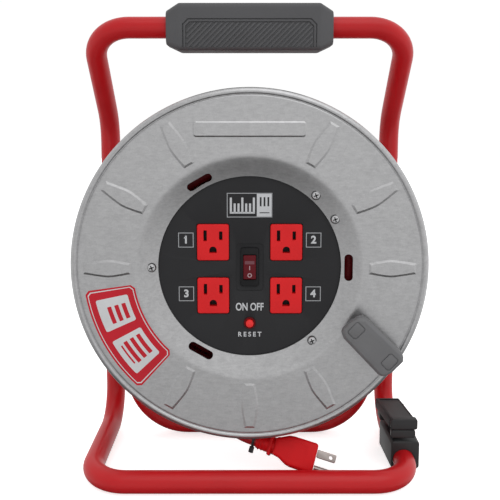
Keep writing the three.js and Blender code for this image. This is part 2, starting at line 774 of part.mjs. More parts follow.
/** The cover that closes the space behind the panel, with a hole for the cord. */
function backBox() {
  const profile = [
    [BOX_R - 2, BOX_FRONT_Y],
    [BOX_R, BOX_FRONT_Y],
    [BOX_R, BOX_BACK_Y],
    [0, BOX_BACK_Y],
    [0, BOX_BACK_Y - 2],
    [BOX_R - 2, BOX_BACK_Y - 2],
  ];
  const points = profile.map(([r, y]) => v2(r, y));
  const open = turnedOpen(points);
  const hole = barX(7 + GAP, 10, BOX_R, 26, 0, 12).rotateY(-rad(GLAND_ANGLE));
  return cut(open, hole);
}

/** A profile with an edge on the axis, turned about the Y axis. */
function turnedOpen(points) {
  const start = points.findIndex((p, i) => p.x === 0 && points[i + 1].x === 0);
  const path = [...points.slice(start + 1), ...points.slice(0, start + 1)];
  return new THREE.LatheGeometry(path, 36);
}

/** The switch's frame and body, open in front for the rocker. */
function switchBody() {
  const frame = slab(
    roundedRect(SWITCH_W, SWITCH_H, 1.5, 0, SWITCH_Z),
    PANEL_Y - 0.8,
    PANEL_Y + 1 - GAP,
    0.4,
  );
  const body = box(SWITCH_W - 3, 24, SWITCH_H - 3, 0, PANEL_Y + 12.4, SWITCH_Z);
  const well = box(ROCKER_W + 0.8, 16, ROCKER_H + 0.8, 0, PANEL_Y + 2, SWITCH_Z);
  return cut(joined(frame, body), well);
}

/** The rocker: two faces that meet at a shallow angle over its pivot. */
function rocker() {
  const shape = new THREE.Shape([
    v2(-9.9, -1.2),
    v2(0, -1.4),
    v2(9.5, -3),
    v2(9.7, 1.6),
    v2(3, 5.6),
    v2(-3, 5.6),
    v2(-9.7, 1.6),
  ]);
  const side = new THREE.ExtrudeGeometry(shape, {
    depth: ROCKER_W,
    bevelEnabled: false,
  });
  return side
    .translate(0, 0, -ROCKER_W / 2)
    .applyMatrix4(
      new THREE.Matrix4().makeBasis(v3(0, 0, -1), v3(0, 1, 0), v3(1, 0, 0)),
    )
    .translate(0, PANEL_Y, SWITCH_Z);
}

/** The overload breaker's body, with its threaded collar through the panel. */
function breaker() {
  const body = box(18, 22, 14, 0, BOX_FRONT_Y + 12, RESET_Z);
  const neck = barY(COLLAR_R - 1, PANEL_Y + 0.2, BOX_FRONT_Y + 2, 0, RESET_Z, 16);
  const bore = barY(RESET_R + GAP, PANEL_Y - 1, BOX_FRONT_Y + 8, 0, RESET_Z, 16);
  return cut(joined(body, neck), bore);
}

function addPanel() {
  add("socket_panel", socketPanel(), blackPlastic, drum);
  socketPlaces().forEach(([x, z], i) =>
    add(`outlet_${i + 1}`, socket(x, z), redPlastic, drum),
  );
  add("back_cover", backBox(), blackPlastic, drum);
  add("switch_housing", switchBody(), blackPlastic, drum);
  add("switch_rocker", rocker(), redPlastic, drum);
  add("breaker_body", breaker(), blackPlastic, drum);
  const collar = ring(COLLAR_R - 1 + GAP, COLLAR_R + 1.2, PANEL_Y - 1.2, PANEL_Y - GAP, 16);
  add("reset_collar", collar.translate(0, 0, RESET_Z), blackPlastic, drum);
  const button = barY(RESET_R, PANEL_Y - 3.2, PANEL_Y + 7, 0, RESET_Z, 16);
  add("reset_button", button, redPlastic, drum);
  const barNames = ["neutral", "earth", "live"];
  barNames.forEach((name, i) => {
    const z = 10 - 12 * i;
    const bar = box(2 * SOCKET_X, 1.5, 6, 0, SOCKET_BACK_Y + 4, z);
    add(`${name}_bus_bar`, bar, brass, drum);
  });
  const gland = joined(
    barX(10, 2.4, BARREL_R - SHEET - 2.6, 26, 0, 12),
    barX(6.9, 7.5, BARREL_R - SHEET - 3, 26, 0, 12),
  );
  add("cord_gland", gland.rotateY(-rad(GLAND_ANGLE)), blackPlastic, drum);
}

// ---- Folding crank ----
const CRANK_X = 112.1; // the hinge pin's middle
const CRANK_Z = -73.8;
const CRANK_PIN_Y = -13;
const CRANK_TURN = 135.8; // direction from the pin to the knob's free end
const CRANK_TAIL = 5.2; // length past the pin
const CRANK_REACH = 47.5;
const CRANK_W = 25.6;
const CRANK_UNDERCUT = 21; // slope in degrees of the finger hold under its free end
const CRANK_BACK_Y = -7;
const CRANK_FRONT_Y = -22;
const KNUCKLE_W = 9;
const KNUCKLE_R = 4.2;

/** Turns crank geometry, drawn along X from its pin, to its place on the flange. */
function onCrank(geometry) {
  return geometry.rotateY(-rad(CRANK_TURN)).translate(CRANK_X, 0, CRANK_Z);
}

/** The folding knob: a slot at its hinge end for the knuckle, and a finger hold behind. */
function crankKnob() {
  const w = CRANK_W / 2;
  const outline = new THREE.Shape([
    v2(-CRANK_TAIL, -w + 4.4),
    v2(-CRANK_TAIL + 4.5, -w),
    v2(CRANK_REACH - 7, -w),
    v2(CRANK_REACH - 2, -w + 3.4),
    v2(CRANK_REACH, -w + 11),
    v2(CRANK_REACH, w - 5.8),
    v2(CRANK_REACH - 5.4, w - 1.8),
    v2(-CRANK_TAIL + 7, w),
    v2(-CRANK_TAIL + 2.2, w - 2),
    v2(-CRANK_TAIL, w - 8.4),
  ]);
  const knob = slab(outline, CRANK_FRONT_Y, CRANK_BACK_Y, 2);
  const slotDepth = 2 * (KNUCKLE_R + 4 * GAP);
  const slot = box(19, 20, KNUCKLE_W + 2 * GAP, -3.5, CRANK_PIN_Y + 10 - slotDepth / 2, 0);
  const pinHole = new THREE.CylinderGeometry(2 + GAP, 2 + GAP, 40, 12);
  pinHole.rotateX(Math.PI / 2).translate(0, CRANK_PIN_Y, 0);
  const hold = box(60, 20, 40, 30, 10, 0).rotateZ(-rad(CRANK_UNDERCUT));
  hold.translate(CRANK_REACH - 21, CRANK_BACK_Y, 0);
  return onCrank(cut(knob, slot, pinHole, hold));
}

/** The base: a foot fixed to the flange and a knuckle round the pin. */
function crankBase() {
  const foot = slab(roundedRect(17, KNUCKLE_W, 2, 5.5, 0), FLAT_Y - GAP - 2, FLAT_Y - GAP);
  const post = box(7, 9, KNUCKLE_W, 0, CRANK_PIN_Y + 4.5, 0);
  const knuckle = new THREE.CylinderGeometry(KNUCKLE_R, KNUCKLE_R, KNUCKLE_W, 14);
  knuckle.rotateX(Math.PI / 2).translate(0, CRANK_PIN_Y, 0);
  const pinHole = new THREE.CylinderGeometry(2 + GAP, 2 + GAP, 40, 12);
  pinHole.rotateX(Math.PI / 2).translate(0, CRANK_PIN_Y, 0);
  return onCrank(cut(joined(foot, post, knuckle), pinHole));
}

function addCrank() {
  add("crank_base", crankBase(), greyPlastic, drum);
  add("crank_knob", crankKnob(), greyPlastic, drum);
  const pin = new THREE.CylinderGeometry(2, 2, CRANK_W - 4, 12);
  pin.rotateX(Math.PI / 2).translate(0, CRANK_PIN_Y, 0);
  add("crank_pin", onCrank(pin), zincPlate, drum);
}

// ---- Loose cord end and plug ----
const PLUG_AT = v3(55.9, 9.6, 15); // middle of the plug's front face
const PLUG_YAW = -12.5;
const PLUG_PITCH = 12.5;
const PLUG_ROLL = -30;
const PLUG_THICK = 22;
const PLUG_TAIL = -52;
const BLADE_LENGTH = 16.2;
const BLADE_Z = 4.6;
const EARTH_PIN_Z = BLADE_Z - 11.9;
const TAIL_STRAIGHT = 1; // straight run at each end of the loose cord
const TAIL_REACH = [13, 21]; // how far its bend follows the drum's end and the plug's

const plugTurn = new THREE.Euler(rad(PLUG_ROLL), rad(PLUG_PITCH), rad(PLUG_YAW), "ZYX");
const plug = new THREE.Group();
plug.position.copy(PLUG_AT);
plug.rotation.copy(plugTurn);
reel.add(plug);

/** The moulded plug, drawn along X with its face at the origin. */
function plugBody() {
  const outline = new THREE.Shape([
    v2(0, -12.8),
    v2(0, 12.2),
    v2(-25, 12.2),
    v2(-35, 7.6),
    v2(-35, -7.6),
    v2(-30, -8.2),
    v2(-20.5, -12.4),
  ]);
  const body = slab(outline, -PLUG_THICK / 2, PLUG_THICK / 2, 3);
  const collar = slab(roundedRect(3, 18, 1.4, -39.5, 0), -8, 8, 0.8);
  const taper = new THREE.CylinderGeometry(CORD_R + 0.8, 7.4, 24, 12);
  taper.rotateZ(Math.PI / 2).translate(PLUG_TAIL + 12, 0, 0);
  const ribs = [-50, -47, -44].map((x) => barX(7, 1.5, x, 0, 0, 12));
  return joined(body, collar, taper, ...ribs);
}

/** A flat blade with a hole near its tip. */
function blade(y) {
  const outline = roundedRect(BLADE_LENGTH, 6.35, 1, BLADE_LENGTH / 2 + GAP, BLADE_Z);
  const strip = slab(outline, y - 0.75, y + 0.75);
  return cut(strip, barY(1.6, y - 3, y + 3, BLADE_LENGTH - 4, BLADE_Z, 8));
}

/** A cable tie round the cord behind the plug, with its lock hanging. */
function cordTie() {
  const x = PLUG_TAIL - 2.5;
  const band = barX(CORD_R + 1.6, 3, x, 0, 0, 12);
  const lock = box(4, 4, 5.5, x, -1, -CORD_R - 3.4);
  const boreR = (CORD_R + GAP) / Math.cos(Math.PI / 12);
  return cut(joined(band, lock), barX(boreR, 12, x, 0, 0, 12));
}

/** The loose cord's route, from the drum to the plug's tail. */
function tailRoute() {
  const start = windingPoint(0).addScaledVector(exitDirection(), EXIT_STRAIGHT + GAP);
  start.z += AXLE_Z;
  const heading = v3(1, 0, 0).applyEuler(plugTurn);
  const end = v3(PLUG_TAIL - GAP, 0, 0).applyEuler(plugTurn).add(PLUG_AT);
  const first = start.clone().addScaledVector(exitDirection(), TAIL_STRAIGHT);
  const last = end.clone().addScaledVector(heading, -TAIL_STRAIGHT);
  const bend = new THREE.CubicBezierCurve3(
    first,
    first.clone().addScaledVector(exitDirection(), TAIL_REACH[0]),
    last.clone().addScaledVector(heading, -TAIL_REACH[1]),
    last,
  );
  return [start, ...bend.getPoints(8), end];
}

function addCordEnd() {
  add("plug_body", plugBody(), redPlastic, plug);
  add("plug_blade_front", blade(-SLOT_PITCH / 2), zincPlate, plug);
  add("plug_blade_rear", blade(SLOT_PITCH / 2), zincPlate, plug);
  const pin = barX(2.4, 20.5, 10.25 + GAP, 0, EARTH_PIN_Z, 12);
  add("plug_earth_pin", pin, zincPlate, plug);
  add("cord_tie", cordTie(), blackPlastic, plug);
  const route = tailRoute();
  add("cord_tail", swept(polygon(CORD_R, 10), route), cordJacket);
}

addStand();
add("handle_grip", handleGrip(), greyRubber);
addGuide();
addDrumMetal();
addWinding();
addPanel();
addCrank();
addCordEnd();

export default reel;
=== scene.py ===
"""Looks of an extension cord reel: a steel drum of red cord in a bent tube stand.

Lengths in the piece builders are millimetres, with Y measured from the middle plane of the
front flange's rim and Z from the floor. place() turns them into the model's metres.
"""

import math

import bmesh
import bpy
from mathutils import Matrix, Vector


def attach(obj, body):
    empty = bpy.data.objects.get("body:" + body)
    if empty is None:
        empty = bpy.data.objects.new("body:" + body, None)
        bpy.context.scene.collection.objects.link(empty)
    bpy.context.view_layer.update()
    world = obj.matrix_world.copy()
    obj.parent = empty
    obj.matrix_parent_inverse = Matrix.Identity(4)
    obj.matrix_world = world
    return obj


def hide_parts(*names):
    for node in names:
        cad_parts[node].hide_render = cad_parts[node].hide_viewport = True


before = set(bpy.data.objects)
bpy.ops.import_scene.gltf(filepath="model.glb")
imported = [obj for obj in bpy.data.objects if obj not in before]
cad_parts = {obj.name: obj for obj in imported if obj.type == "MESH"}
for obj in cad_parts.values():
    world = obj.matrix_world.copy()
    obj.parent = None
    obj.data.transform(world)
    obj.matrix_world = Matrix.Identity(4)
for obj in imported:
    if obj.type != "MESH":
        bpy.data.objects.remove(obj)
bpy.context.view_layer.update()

MM = 0.001
MIDDLE_Y = 51.65
AXLE_Z = 183.0


def place(p):
    """A point in the builders' millimetres as a point of the model."""
    return Vector((p[0], p[1] - MIDDLE_Y, p[2])) * MM


def on_drum(p):
    """A point measured from the drum's axis as a point of the builders' frame."""
    return Vector((p[0], p[1], p[2] + AXLE_Z))


def to_drum(p):
    return place(on_drum(p))


# ---- Camera and light ----
# The camera's distance is from the front rim's middle plane, and it looks slightly down
CAMERA_LENS = 49.708
CAMERA_DISTANCE = 548.2
CAMERA_HEIGHT = 308.5
CAMERA_PITCH = 6.458
CAMERA_SENSOR = 36.0
CAMERA_SHIFT = (0.0007, -0.12)
SUN_AIM = (-0.22, 0.5, -0.84)
SUN_ENERGY = 0.5
SUN_SPREAD = 50.0
ROOM_SEEN = 1.02
# How much light the room gives, from the front (0) to behind the object (1)
ROOM_LEVELS = [(0.0, 1.0), (0.1, 0.68), (0.35, 0.85), (1.0, 0.9)]
ROOM_BELOW = 0.06
ROOM_LEFT = 0.9
ROOM_RIGHT = 1.1
FLOOR_HALF = 4.0
FLOOR_Z = -0.0002
FLOOR_FELT = 0.7
FLOOR_GLOW = 0.7


def add_camera():
    data = bpy.data.cameras.new("camera")
    data.lens = CAMERA_LENS
    data.sensor_width = CAMERA_SENSOR
    data.shift_x, data.shift_y = CAMERA_SHIFT
    data.clip_end = 50.0
    camera = bpy.data.objects.new("camera", data)
    camera.location = place((0.0, -CAMERA_DISTANCE, CAMERA_HEIGHT))
    camera.rotation_euler = (math.radians(90.0 - CAMERA_PITCH), 0.0, 0.0)
    bpy.context.scene.collection.objects.link(camera)
    bpy.context.scene.camera = camera


def add_sun():
    """One broad soft light from the upper front, a little from the right."""
    data = bpy.data.lights.new("light_key", "SUN")
    data.energy = SUN_ENERGY
    data.angle = math.radians(SUN_SPREAD)
    light = bpy.data.objects.new("light_key", data)
    light.rotation_euler = Vector(SUN_AIM).to_track_quat("-Z", "Y").to_euler()
    bpy.context.scene.collection.objects.link(light)


def add_room():
    """A plain white room that lights the object less from the left, and hardly from below."""
    world = bpy.data.worlds.new("studio")
    world.use_nodes = True
    bpy.context.scene.world = world
    background = world.node_tree.nodes["Background"]
    background.inputs["Color"].default_value = (1.0, 1.0, 1.0, 1.0)
    tree = Tree(world.node_tree)
    parts = tree.node("ShaderNodeSeparateXYZ")
    tree.put(tree.node("ShaderNodeTexCoord").outputs["Generated"], parts.inputs[0])
    around = tree.node("ShaderNodeFloatCurve")
    tree.feed(around, Value=tree.remap(parts.outputs["Y"], -1.0, 1.0))
    curve = around.mapping.curves[0]
    for at, value in ROOM_LEVELS[1:-1]:
        curve.points.new(at, value)
    curve.points[0].location = ROOM_LEVELS[0]
    curve.points[-1].location = ROOM_LEVELS[-1]
    around.mapping.update()
    across = tree.remap(parts.outputs["X"], -0.8, 0.8, ROOM_LEFT, ROOM_RIGHT)
    below = tree.remap(parts.outputs["Z"], -0.7, -0.44, ROOM_BELOW, 1.0)
    felt = tree.math("MULTIPLY", tree.math("MULTIPLY", around.outputs[0], across), below)
    seen = tree.node("ShaderNodeLightPath").outputs["Is Camera Ray"]
    tree.put(tree.mix("FLOAT", seen, felt, ROOM_SEEN), background.inputs["Strength"])


def add_studio():
    bpy.context.scene.view_settings.view_transform = "Standard"
    add_sun()
    add_room()
    half = FLOOR_HALF
    corners = [(-half, -half, 0), (half, -half, 0), (half, half, 0), (-half, half, 0)]
    floor = mesh_object("floor", corners, [(0, 1, 2, 3)])
    floor.location.z = FLOOR_Z
    floor.data.materials.append(floor_material())
    floor.visible_glossy = False


# ---- Materials ----
BUMP_REACH = 0.0004


class Tree:
    """A node tree with short calls for its nodes and links."""

    def __init__(self, tree):
        self.tree = tree

    def node(self, kind, **settings):
        made = self.tree.nodes.new(kind)
        for name, value in settings.items():
            setattr(made, name, value)
        return made

    def put(self, value, target):
        """Links a socket to another, or gives it a plain value."""
        if isinstance(value, bpy.types.NodeSocket):
            self.tree.links.new(value, target)
        else:
            target.default_value = value

    def feed(self, node, **values):
        for name, value in values.items():
            self.put(value, node.inputs[name.replace("_", " ")])
        return node

    def math(self, operation, *values):
        made = self.node("ShaderNodeMath", operation=operation)
        for value, target in zip(values, made.inputs):
            self.put(value, target)
        return made.outputs[0]

    def mix(self, kind, share, first, second):
        """A blend of two numbers (FLOAT) or of two colours (RGBA)."""
        made = self.node("ShaderNodeMix", data_type=kind)
        start, out = {"FLOAT": (2, 0), "RGBA": (6, 2)}[kind]
        self.put(share, made.inputs["Factor"])
        self.put(first, made.inputs[start])
        self.put(second, made.inputs[start + 1])
        return made.outputs[out]

    def remap(self, value, low, high, to_low=0.0, to_high=1.0):
        made = self.feed(
            self.node("ShaderNodeMapRange"), Value=value, From_Min=low, From_Max=high,
            To_Min=to_low, To_Max=to_high,
        )
        return made.outputs[0]

    def noise(self, where, scale, detail):
        made = self.feed(self.node("ShaderNodeTexNoise"), Vector=where, Scale=scale, Detail=detail)
        return made.outputs["Fac"]

    def bump(self, height, strength):
        made = self.feed(
            self.node("ShaderNodeBump"), Height=height, Strength=strength, Distance=BUMP_REACH
        )
        return made.outputs[0]


def new_group(name, inputs):
    """A node group with its named inputs, and a surface's colour, roughness and normal."""
    group = bpy.data.node_groups.new(name, "ShaderNodeTree")
    for label, kind, default in inputs:
        made = group.interface.new_socket(label, in_out="INPUT", socket_type=f"NodeSocket{kind}")
        made.default_value = default
    for label, kind in (("Colour", "Color"), ("Roughness", "Float"), ("Normal", "Vector")):
        group.interface.new_socket(label, in_out="OUTPUT", socket_type=f"NodeSocket{kind}")
    tree = Tree(group)
    given = tree.node("NodeGroupInput").outputs
    return group, tree, given, tree.node("NodeGroupOutput")


def grain_group():
    """A fine bumpy grain with a slow mottle of shade and roughness."""
    group, t, given, made = new_group("grain", [
        ("Grain Scale", "Float", 1500.0),
        ("Grain Depth", "Float", 0.05),
        ("Mottle Scale", "Float", 40.0),
        ("Mottle Amount", "Float", 0.1),
        ("Colour", "Color", (0.5, 0.5, 0.5, 1.0)),
        ("Roughness", "Float", 0.5),
    ])
    where = t.node("ShaderNodeTexCoord").outputs["Object"]
    fine = t.noise(where, given["Grain Scale"], 4.0)
    swing = t.remap(t.noise(where, given["Mottle Scale"], 3.0), 0.3, 0.7, -1.0, 1.0)
    value = t.math("ADD", t.math("MULTIPLY", swing, given["Mottle Amount"]), 1.0)
    tint = t.feed(t.node("ShaderNodeHueSaturation"), Color=given["Colour"], Value=value)
    t.feed(
        made,
        Colour=tint.outputs[0],
        Roughness=t.math("MULTIPLY", given["Roughness"], value),
        Normal=t.bump(fine, given["Grain Depth"]),
    )
    return group


def spangle_group():
    """Zinc-coated sheet: fine speckle, short streaks along X and a faint crystal pattern."""
    group, t, given, made = new_group("spangle", [
        ("Dark", "Color", (0.3, 0.3, 0.3, 1.0)),
        ("Light", "Color", (0.6, 0.6, 0.6, 1.0)),
        ("Roughness", "Float", 0.4),
    ])
    where = t.node("ShaderNodeTexCoord").outputs["Object"]
    stretch = t.feed(t.node("ShaderNodeMapping"), Vector=where, Scale=(0.3, 1.0, 1.0))
    cells = t.feed(t.node("ShaderNodeTexVoronoi"), Vector=where, Scale=240.0)
    crystals = t.feed(t.node("ShaderNodeSeparateColor"), Color=cells.outputs["Color"])
    speckle = t.noise(where, 900.0, 5.0)
    streak = t.noise(stretch.outputs[0], 650.0, 3.0)
    shade = t.mix("FLOAT", 0.1, t.mix("FLOAT", 0.55, speckle, streak), crystals.outputs[0])
    spread = t.remap(shade, 0.3, 0.7)
    t.feed(
        made,
        Colour=t.mix("RGBA", spread, given["Dark"], given["Light"]),
        Roughness=t.math("MULTIPLY_ADD", spread, 0.08, given["Roughness"]),
        Normal=t.bump(speckle, 0.06),
    )
    return group


def new_material(name):
    material = bpy.data.materials.new(name)
    material.use_nodes = True
    tree = Tree(material.node_tree)
    return material, tree, material.node_tree.nodes["Principled BSDF"]


def use_group(tree, shader, group, **values):
    made = tree.feed(tree.node("ShaderNodeGroup", node_tree=group), **values).outputs
    tree.feed(
        shader, Base_Color=made["Colour"], Roughness=made["Roughness"], Normal=made["Normal"]
    )
    return made


GRAIN = grain_group()
SPANGLE = spangle_group()


def grained(name, colour, roughness, grain=(1500.0, 0.05), mottle=(40.0, 0.06), **shader_values):
    material, tree, shader = new_material(name)
    use_group(
        tree, shader, GRAIN, Colour=(*colour, 1.0), Roughness=roughness,
        Grain_Scale=grain[0], Grain_Depth=grain[1],
        Mottle_Scale=mottle[0], Mottle_Amount=mottle[1],
    )
    tree.feed(shader, **shader_values)
    return material


def galvanised_material():
    material, tree, shader = new_material("galvanised_steel")
    use_group(
        tree, shader, SPANGLE, Dark=(0.44, 0.44, 0.446, 1.0), Light=(0.59, 0.59, 0.596, 1.0),
        Roughness=0.34,
    )
    tree.feed(shader, Metallic=0.95)
    return material


def floor_material():
    """White paper to the eye that throws back a softer light."""
    material, tree, shader = new_material("floor_paper")
    paper = use_group(
        tree, shader, GRAIN, Colour=(0.93, 0.93, 0.93, 1.0), Roughness=0.9,
        Grain_Scale=300.0, Grain_Depth=0.02, Mottle_Scale=3.0, Mottle_Amount=0.005,
    )
    seen = tree.node("ShaderNodeLightPath").outputs["Is Camera Ray"]
    felt = (FLOOR_FELT, FLOOR_FELT, FLOOR_FELT, 1.0)
    tree.feed(
        shader,
        Base_Color=tree.mix("RGBA", seen, felt, paper["Colour"]),
        Emission_Color=(1.0, 1.0, 1.0, 1.0),
        Emission_Strength=tree.math("MULTIPLY", seen, FLOOR_GLOW),
        Specular_IOR_Level=0.0,
    )
    return material


RED_PAINT = grained(
    "red_enamel", (0.56, 0.006, 0.010), 0.38, (260.0, 0.03), (30.0, 0.05),
    Specular_IOR_Level=0.32, Coat_Weight=0.12, Coat_Roughness=0.2,
)
GALVANISED = galvanised_material()
ZINC = grained("zinc_plate", (0.62, 0.62, 0.63), 0.32, (900.0, 0.03), (120.0, 0.08), Metallic=0.9)
BRASS = grained("brass", (0.62, 0.44, 0.18), 0.32, (900.0, 0.03), (120.0, 0.08), Metallic=0.9)
NICKEL = grained(
    "plug_nickel", (0.42, 0.37, 0.35), 0.34, (700.0, 0.03), (120.0, 0.1), Metallic=0.9,
)
BLACK_PLASTIC = grained(
    "black_plastic", (0.03, 0.03, 0.031), 0.5, (1400.0, 0.08), Specular_IOR_Level=0.35,
)
PANEL_PLASTIC = grained(
    "panel_plastic", (0.022, 0.022, 0.024), 0.55, (1800.0, 0.05), Specular_IOR_Level=0.28,
)
RED_PLASTIC = grained(
    "red_plastic", (0.76, 0.012, 0.015), 0.42, (1400.0, 0.04), Specular_IOR_Level=0.28,
)
RESET_PLASTIC = grained("reset_plastic", (0.9, 0.022, 0.02), 0.4, (1400.0, 0.03))
DARK_RED_PLASTIC = grained(
    "dark_red_plastic", (0.14, 0.003, 0.005), 0.5, (1400.0, 0.04), Specular_IOR_Level=0.2,
)
PLUG_PLASTIC = grained(
    "plug_vinyl", (0.7, 0.005, 0.009), 0.45, (900.0, 0.05), Specular_IOR_Level=0.22,
)
ROCKER_PLASTIC = grained(
    "rocker_plastic", (0.11, 0.003, 0.008), 0.35, (900.0, 0.03), Specular_IOR_Level=0.2,
)
SWITCH_PLASTIC = grained(
    "switch_plastic", (0.012, 0.012, 0.013), 0.5, (1400.0, 0.05), Specular_IOR_Level=0.2,
)
# A paler red than the rocker: painted highlight where the rocker's face catches the light.
ROCKER_PAINTED_HIGHLIGHT = grained("rocker_painted_highlight", (0.16, 0.045, 0.06), 0.4, (900.0, 0.03))
GREY_PLASTIC = grained("grey_plastic", (0.155, 0.155, 0.16), 0.55, (1200.0, 0.1))
GREY_RUBBER = grained("grey_rubber", (0.092, 0.092, 0.097), 0.68, (1100.0, 0.12))
CORD_RED = grained("cord_jacket", (0.46, 0.006, 0.011), 0.45, (700.0, 0.06), (60.0, 0.08))
# The cord's own jacket made much darker for the inner layers between the flanges: painted shade.
CORD_PAINTED_SHADE = grained(
    "cord_jacket_painted_shade", (0.13, 0.002, 0.005), 0.55, (700.0, 0.06), Specular_IOR_Level=0.2,
)
NYLON = grained("natural_nylon", (0.7, 0.67, 0.58), 0.5)
INK = grained("white_ink", (0.58, 0.59, 0.61), 0.5, (900.0, 0.03))
LINE_INK = grained("line_ink", (0.42, 0.43, 0.45), 0.5, (900.0, 0.03))
ROCKER_INK = grained("rocker_ink", (0.42, 0.3, 0.32), 0.5, (900.0, 0.03))
LABEL_RED = grained(
    "label_red", (0.56, 0.013, 0.027), 0.45, (900.0, 0.02), Specular_IOR_Level=0.25,
)
LABEL_WHITE = grained("label_white", (0.66, 0.67, 0.68), 0.4, (900.0, 0.02))


# ---- Meshes ----
def mesh_object(name, verts, faces):
    mesh = bpy.data.meshes.new(name)
    mesh.from_pydata([tuple(v) for v in verts], [], faces)
    mesh.validate()
    made = bpy.data.objects.new(name, mesh)
    bpy.context.scene.collection.objects.link(made)
    return made


def bake(piece):
    """Applies the piece's modifiers to its mesh."""
    graph = bpy.context.evaluated_depsgraph_get()
    baked = bpy.data.meshes.new_from_object(piece.evaluated_get(graph))
    piece.modifiers.clear()
    piece.data = baked


def bevel(piece, width, segments=3, angle=30.0):
    modifier = piece.modifiers.new("bevel", "BEVEL")
    modifier.width = width * MM
    modifier.segments = segments
    modifier.limit_method = "ANGLE"
    modifier.angle_limit = math.radians(angle)
    bake(piece)
    return piece


def combine(piece, others, operation="DIFFERENCE"):
    """Cuts other pieces out of one, or joins them to it."""
    for other in others:
        modifier = piece.modifiers.new("boolean", "BOOLEAN")
        modifier.operation = operation
        modifier.solver = "EXACT"
        modifier.object = other
        bake(piece)
        bpy.data.objects.remove(other)


def finish_piece(piece, material, body, slot, *nodes, angle=32.0):
    """Gives a piece its finish and its body, and hides the model's nodes that it stands for.

    Its shading is smooth, and keeps the edges that turn more than the angle.
    """
    piece.data.materials.clear()
    piece.data.materials.append(material)
    for polygon in piece.data.polygons:
        polygon.use_smooth = True
    piece.data.set_sharp_from_angle(angle=math.radians(angle))
    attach(piece, body)
    if nodes:
        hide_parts(*nodes)
    return piece


def outward(piece, weld=False):
    """Turns all faces outwards, after closing the points that meet if asked to."""
    mesh = bmesh.new()
    mesh.from_mesh(piece.data)
    if weld:
        bmesh.ops.remove_doubles(mesh, verts=mesh.verts, dist=1e-6)
        bmesh.ops.dissolve_degenerate(mesh, edges=mesh.edges, dist=1e-7)
    bmesh.ops.recalc_face_normals(mesh, faces=mesh.faces)
    mesh.to_mesh(piece.data)
    mesh.free()
    return piece


def slab(name, outline, y0, y1, to=place):
    """A flat outline of (x, z), from y0 to y1."""
    n = len(outline)
    verts = [to((x, y, z)) for y in (y0, y1) for x, z in outline]
    faces = [tuple(range(n)), tuple(range(2 * n - 1, n - 1, -1))]
    faces += [(i, n + i, n + (i + 1) % n, (i + 1) % n) for i in range(n)]
    return outward(mesh_object(name, verts, faces))


def drum_slab(name, outline, y0, y1):
    return slab(name, outline, y0, y1, to_drum)


def rounded(width, height, r, x=0.0, z=0.0, steps=6):
    """The outline of a rectangle with round corners."""
    points = []
    for k, (sx, sz) in enumerate([(1, -1), (1, 1), (-1, 1), (-1, -1)]):
        cx = x + sx * (width / 2 - r)
        cz = z + sz * (height / 2 - r)
        for i in range(steps + 1):
            a = math.radians(-90 + 90 * k + 90 * i / steps)
            points.append((cx + r * math.cos(a), cz + r * math.sin(a)))
    return points


def circle(r, x=0.0, z=0.0, steps=48):
    return [
        (x + r * math.cos(2 * math.pi * i / steps), z + r * math.sin(2 * math.pi * i / steps))
        for i in range(steps)
    ]


def turned(name, profile, segments=96, at=(0.0, 0.0)):
    """A closed profile of (radius, y) turned about a line parallel to the drum's axis."""
    n = len(profile)
    verts, faces = [], []
    for k in range(segments):
        a = 2 * math.pi * k / segments
        c, s = math.cos(a), math.sin(a)
        verts += [to_drum((at[0] + r * c, y, at[1] + r * s)) for r, y in profile]
        here, there = k * n, ((k + 1) % segments) * n
        for i in range(n):
            j = (i + 1) % n
            faces.append((here + i, here + j, there + j, there + i))
    return outward(mesh_object(name, verts, faces), weld=True)


def bent_line(corners, radii, steps):
    """The points of a line through corners, each rounded to its own radius."""
    corners = [Vector(c) for c in corners]
    points = [corners[0]]
    for k, r in enumerate(radii):
        corner = corners[k + 1]
        back = (corners[k] - corner).normalized()
        ahead = (corners[k + 2] - corner).normalized()
        opening = back.angle(ahead)
        start = corner + back * (r / math.tan(opening / 2))
        centre = corner + (back + ahead).normalized() * (r / math.sin(opening / 2))
        axis = ahead.cross(back).normalized()
        for i in range(steps + 1):
            turn = Matrix.Rotation((math.pi - opening) * i / steps, 3, axis)
            points.append(centre + turn @ (start - centre))
    points.append(corners[-1])
    return points


def frames_along(points):
    """A pair of side directions at each point, carried along without twist."""
    tangents = []
    for i in range(len(points)):
        before = points[max(i - 1, 0)]
        after = points[min(i + 1, len(points) - 1)]
        tangents.append((after - before).normalized())
    side = tangents[0].orthogonal().normalized()
    frames = []
    for i, tangent in enumerate(tangents):
        if i:
            side = tangents[i - 1].rotation_difference(tangent) @ side
        side = (side - tangent * side.dot(tangent)).normalized()
        frames.append((side, tangent.cross(side)))
    return frames


def ring_points(middle, side, up, r, sides):
    turns = (2 * math.pi * k / sides for k in range(sides))
    return [place(middle + side * (r * math.cos(a)) + up * (r * math.sin(a))) for a in turns]


def skin(start, rings, sides):
    """The faces between rings of points that follow each other, from a first point's number."""
    faces = []
    for i in range(rings - 1):
        for k in range(sides):
            a, b = start + i * sides + k, start + i * sides + (k + 1) % sides
            faces.append((a, b, b + sides, a + sides))
    return faces


def sweep(name, points, radius, sides=32, bore=None):
    """A round bar, or a tube with a bore, along points."""
    points = [Vector(p) for p in points]
    radii = [radius] if bore is None else [radius, bore]
    verts, faces = [], []
    for r in radii:
        faces += skin(len(verts), len(points), sides)
        for p, (side, up) in zip(points, frames_along(points)):
            verts += ring_points(p, side, up, r, sides)
    shift = len(points) * sides
    for end in (0, shift - sides):
        if bore is None:
            faces.append(tuple(end + k for k in range(sides)))
        else:
            for k in range(sides):
                a, b = end + k, end + (k + 1) % sides
                faces.append((a, b, b + shift, a + shift))
    return outward(mesh_object(name, verts, faces))


def loft(name, sections, to):
    """A closed skin through sections that all have the same number of points."""
    n = len(sections[0])
    verts = [to(p) for section in sections for p in section]
    faces = [tuple(range(n)), tuple(range(len(verts) - n, len(verts)))]
    faces += skin(0, len(sections), n)
    return outward(mesh_object(name, verts, faces))


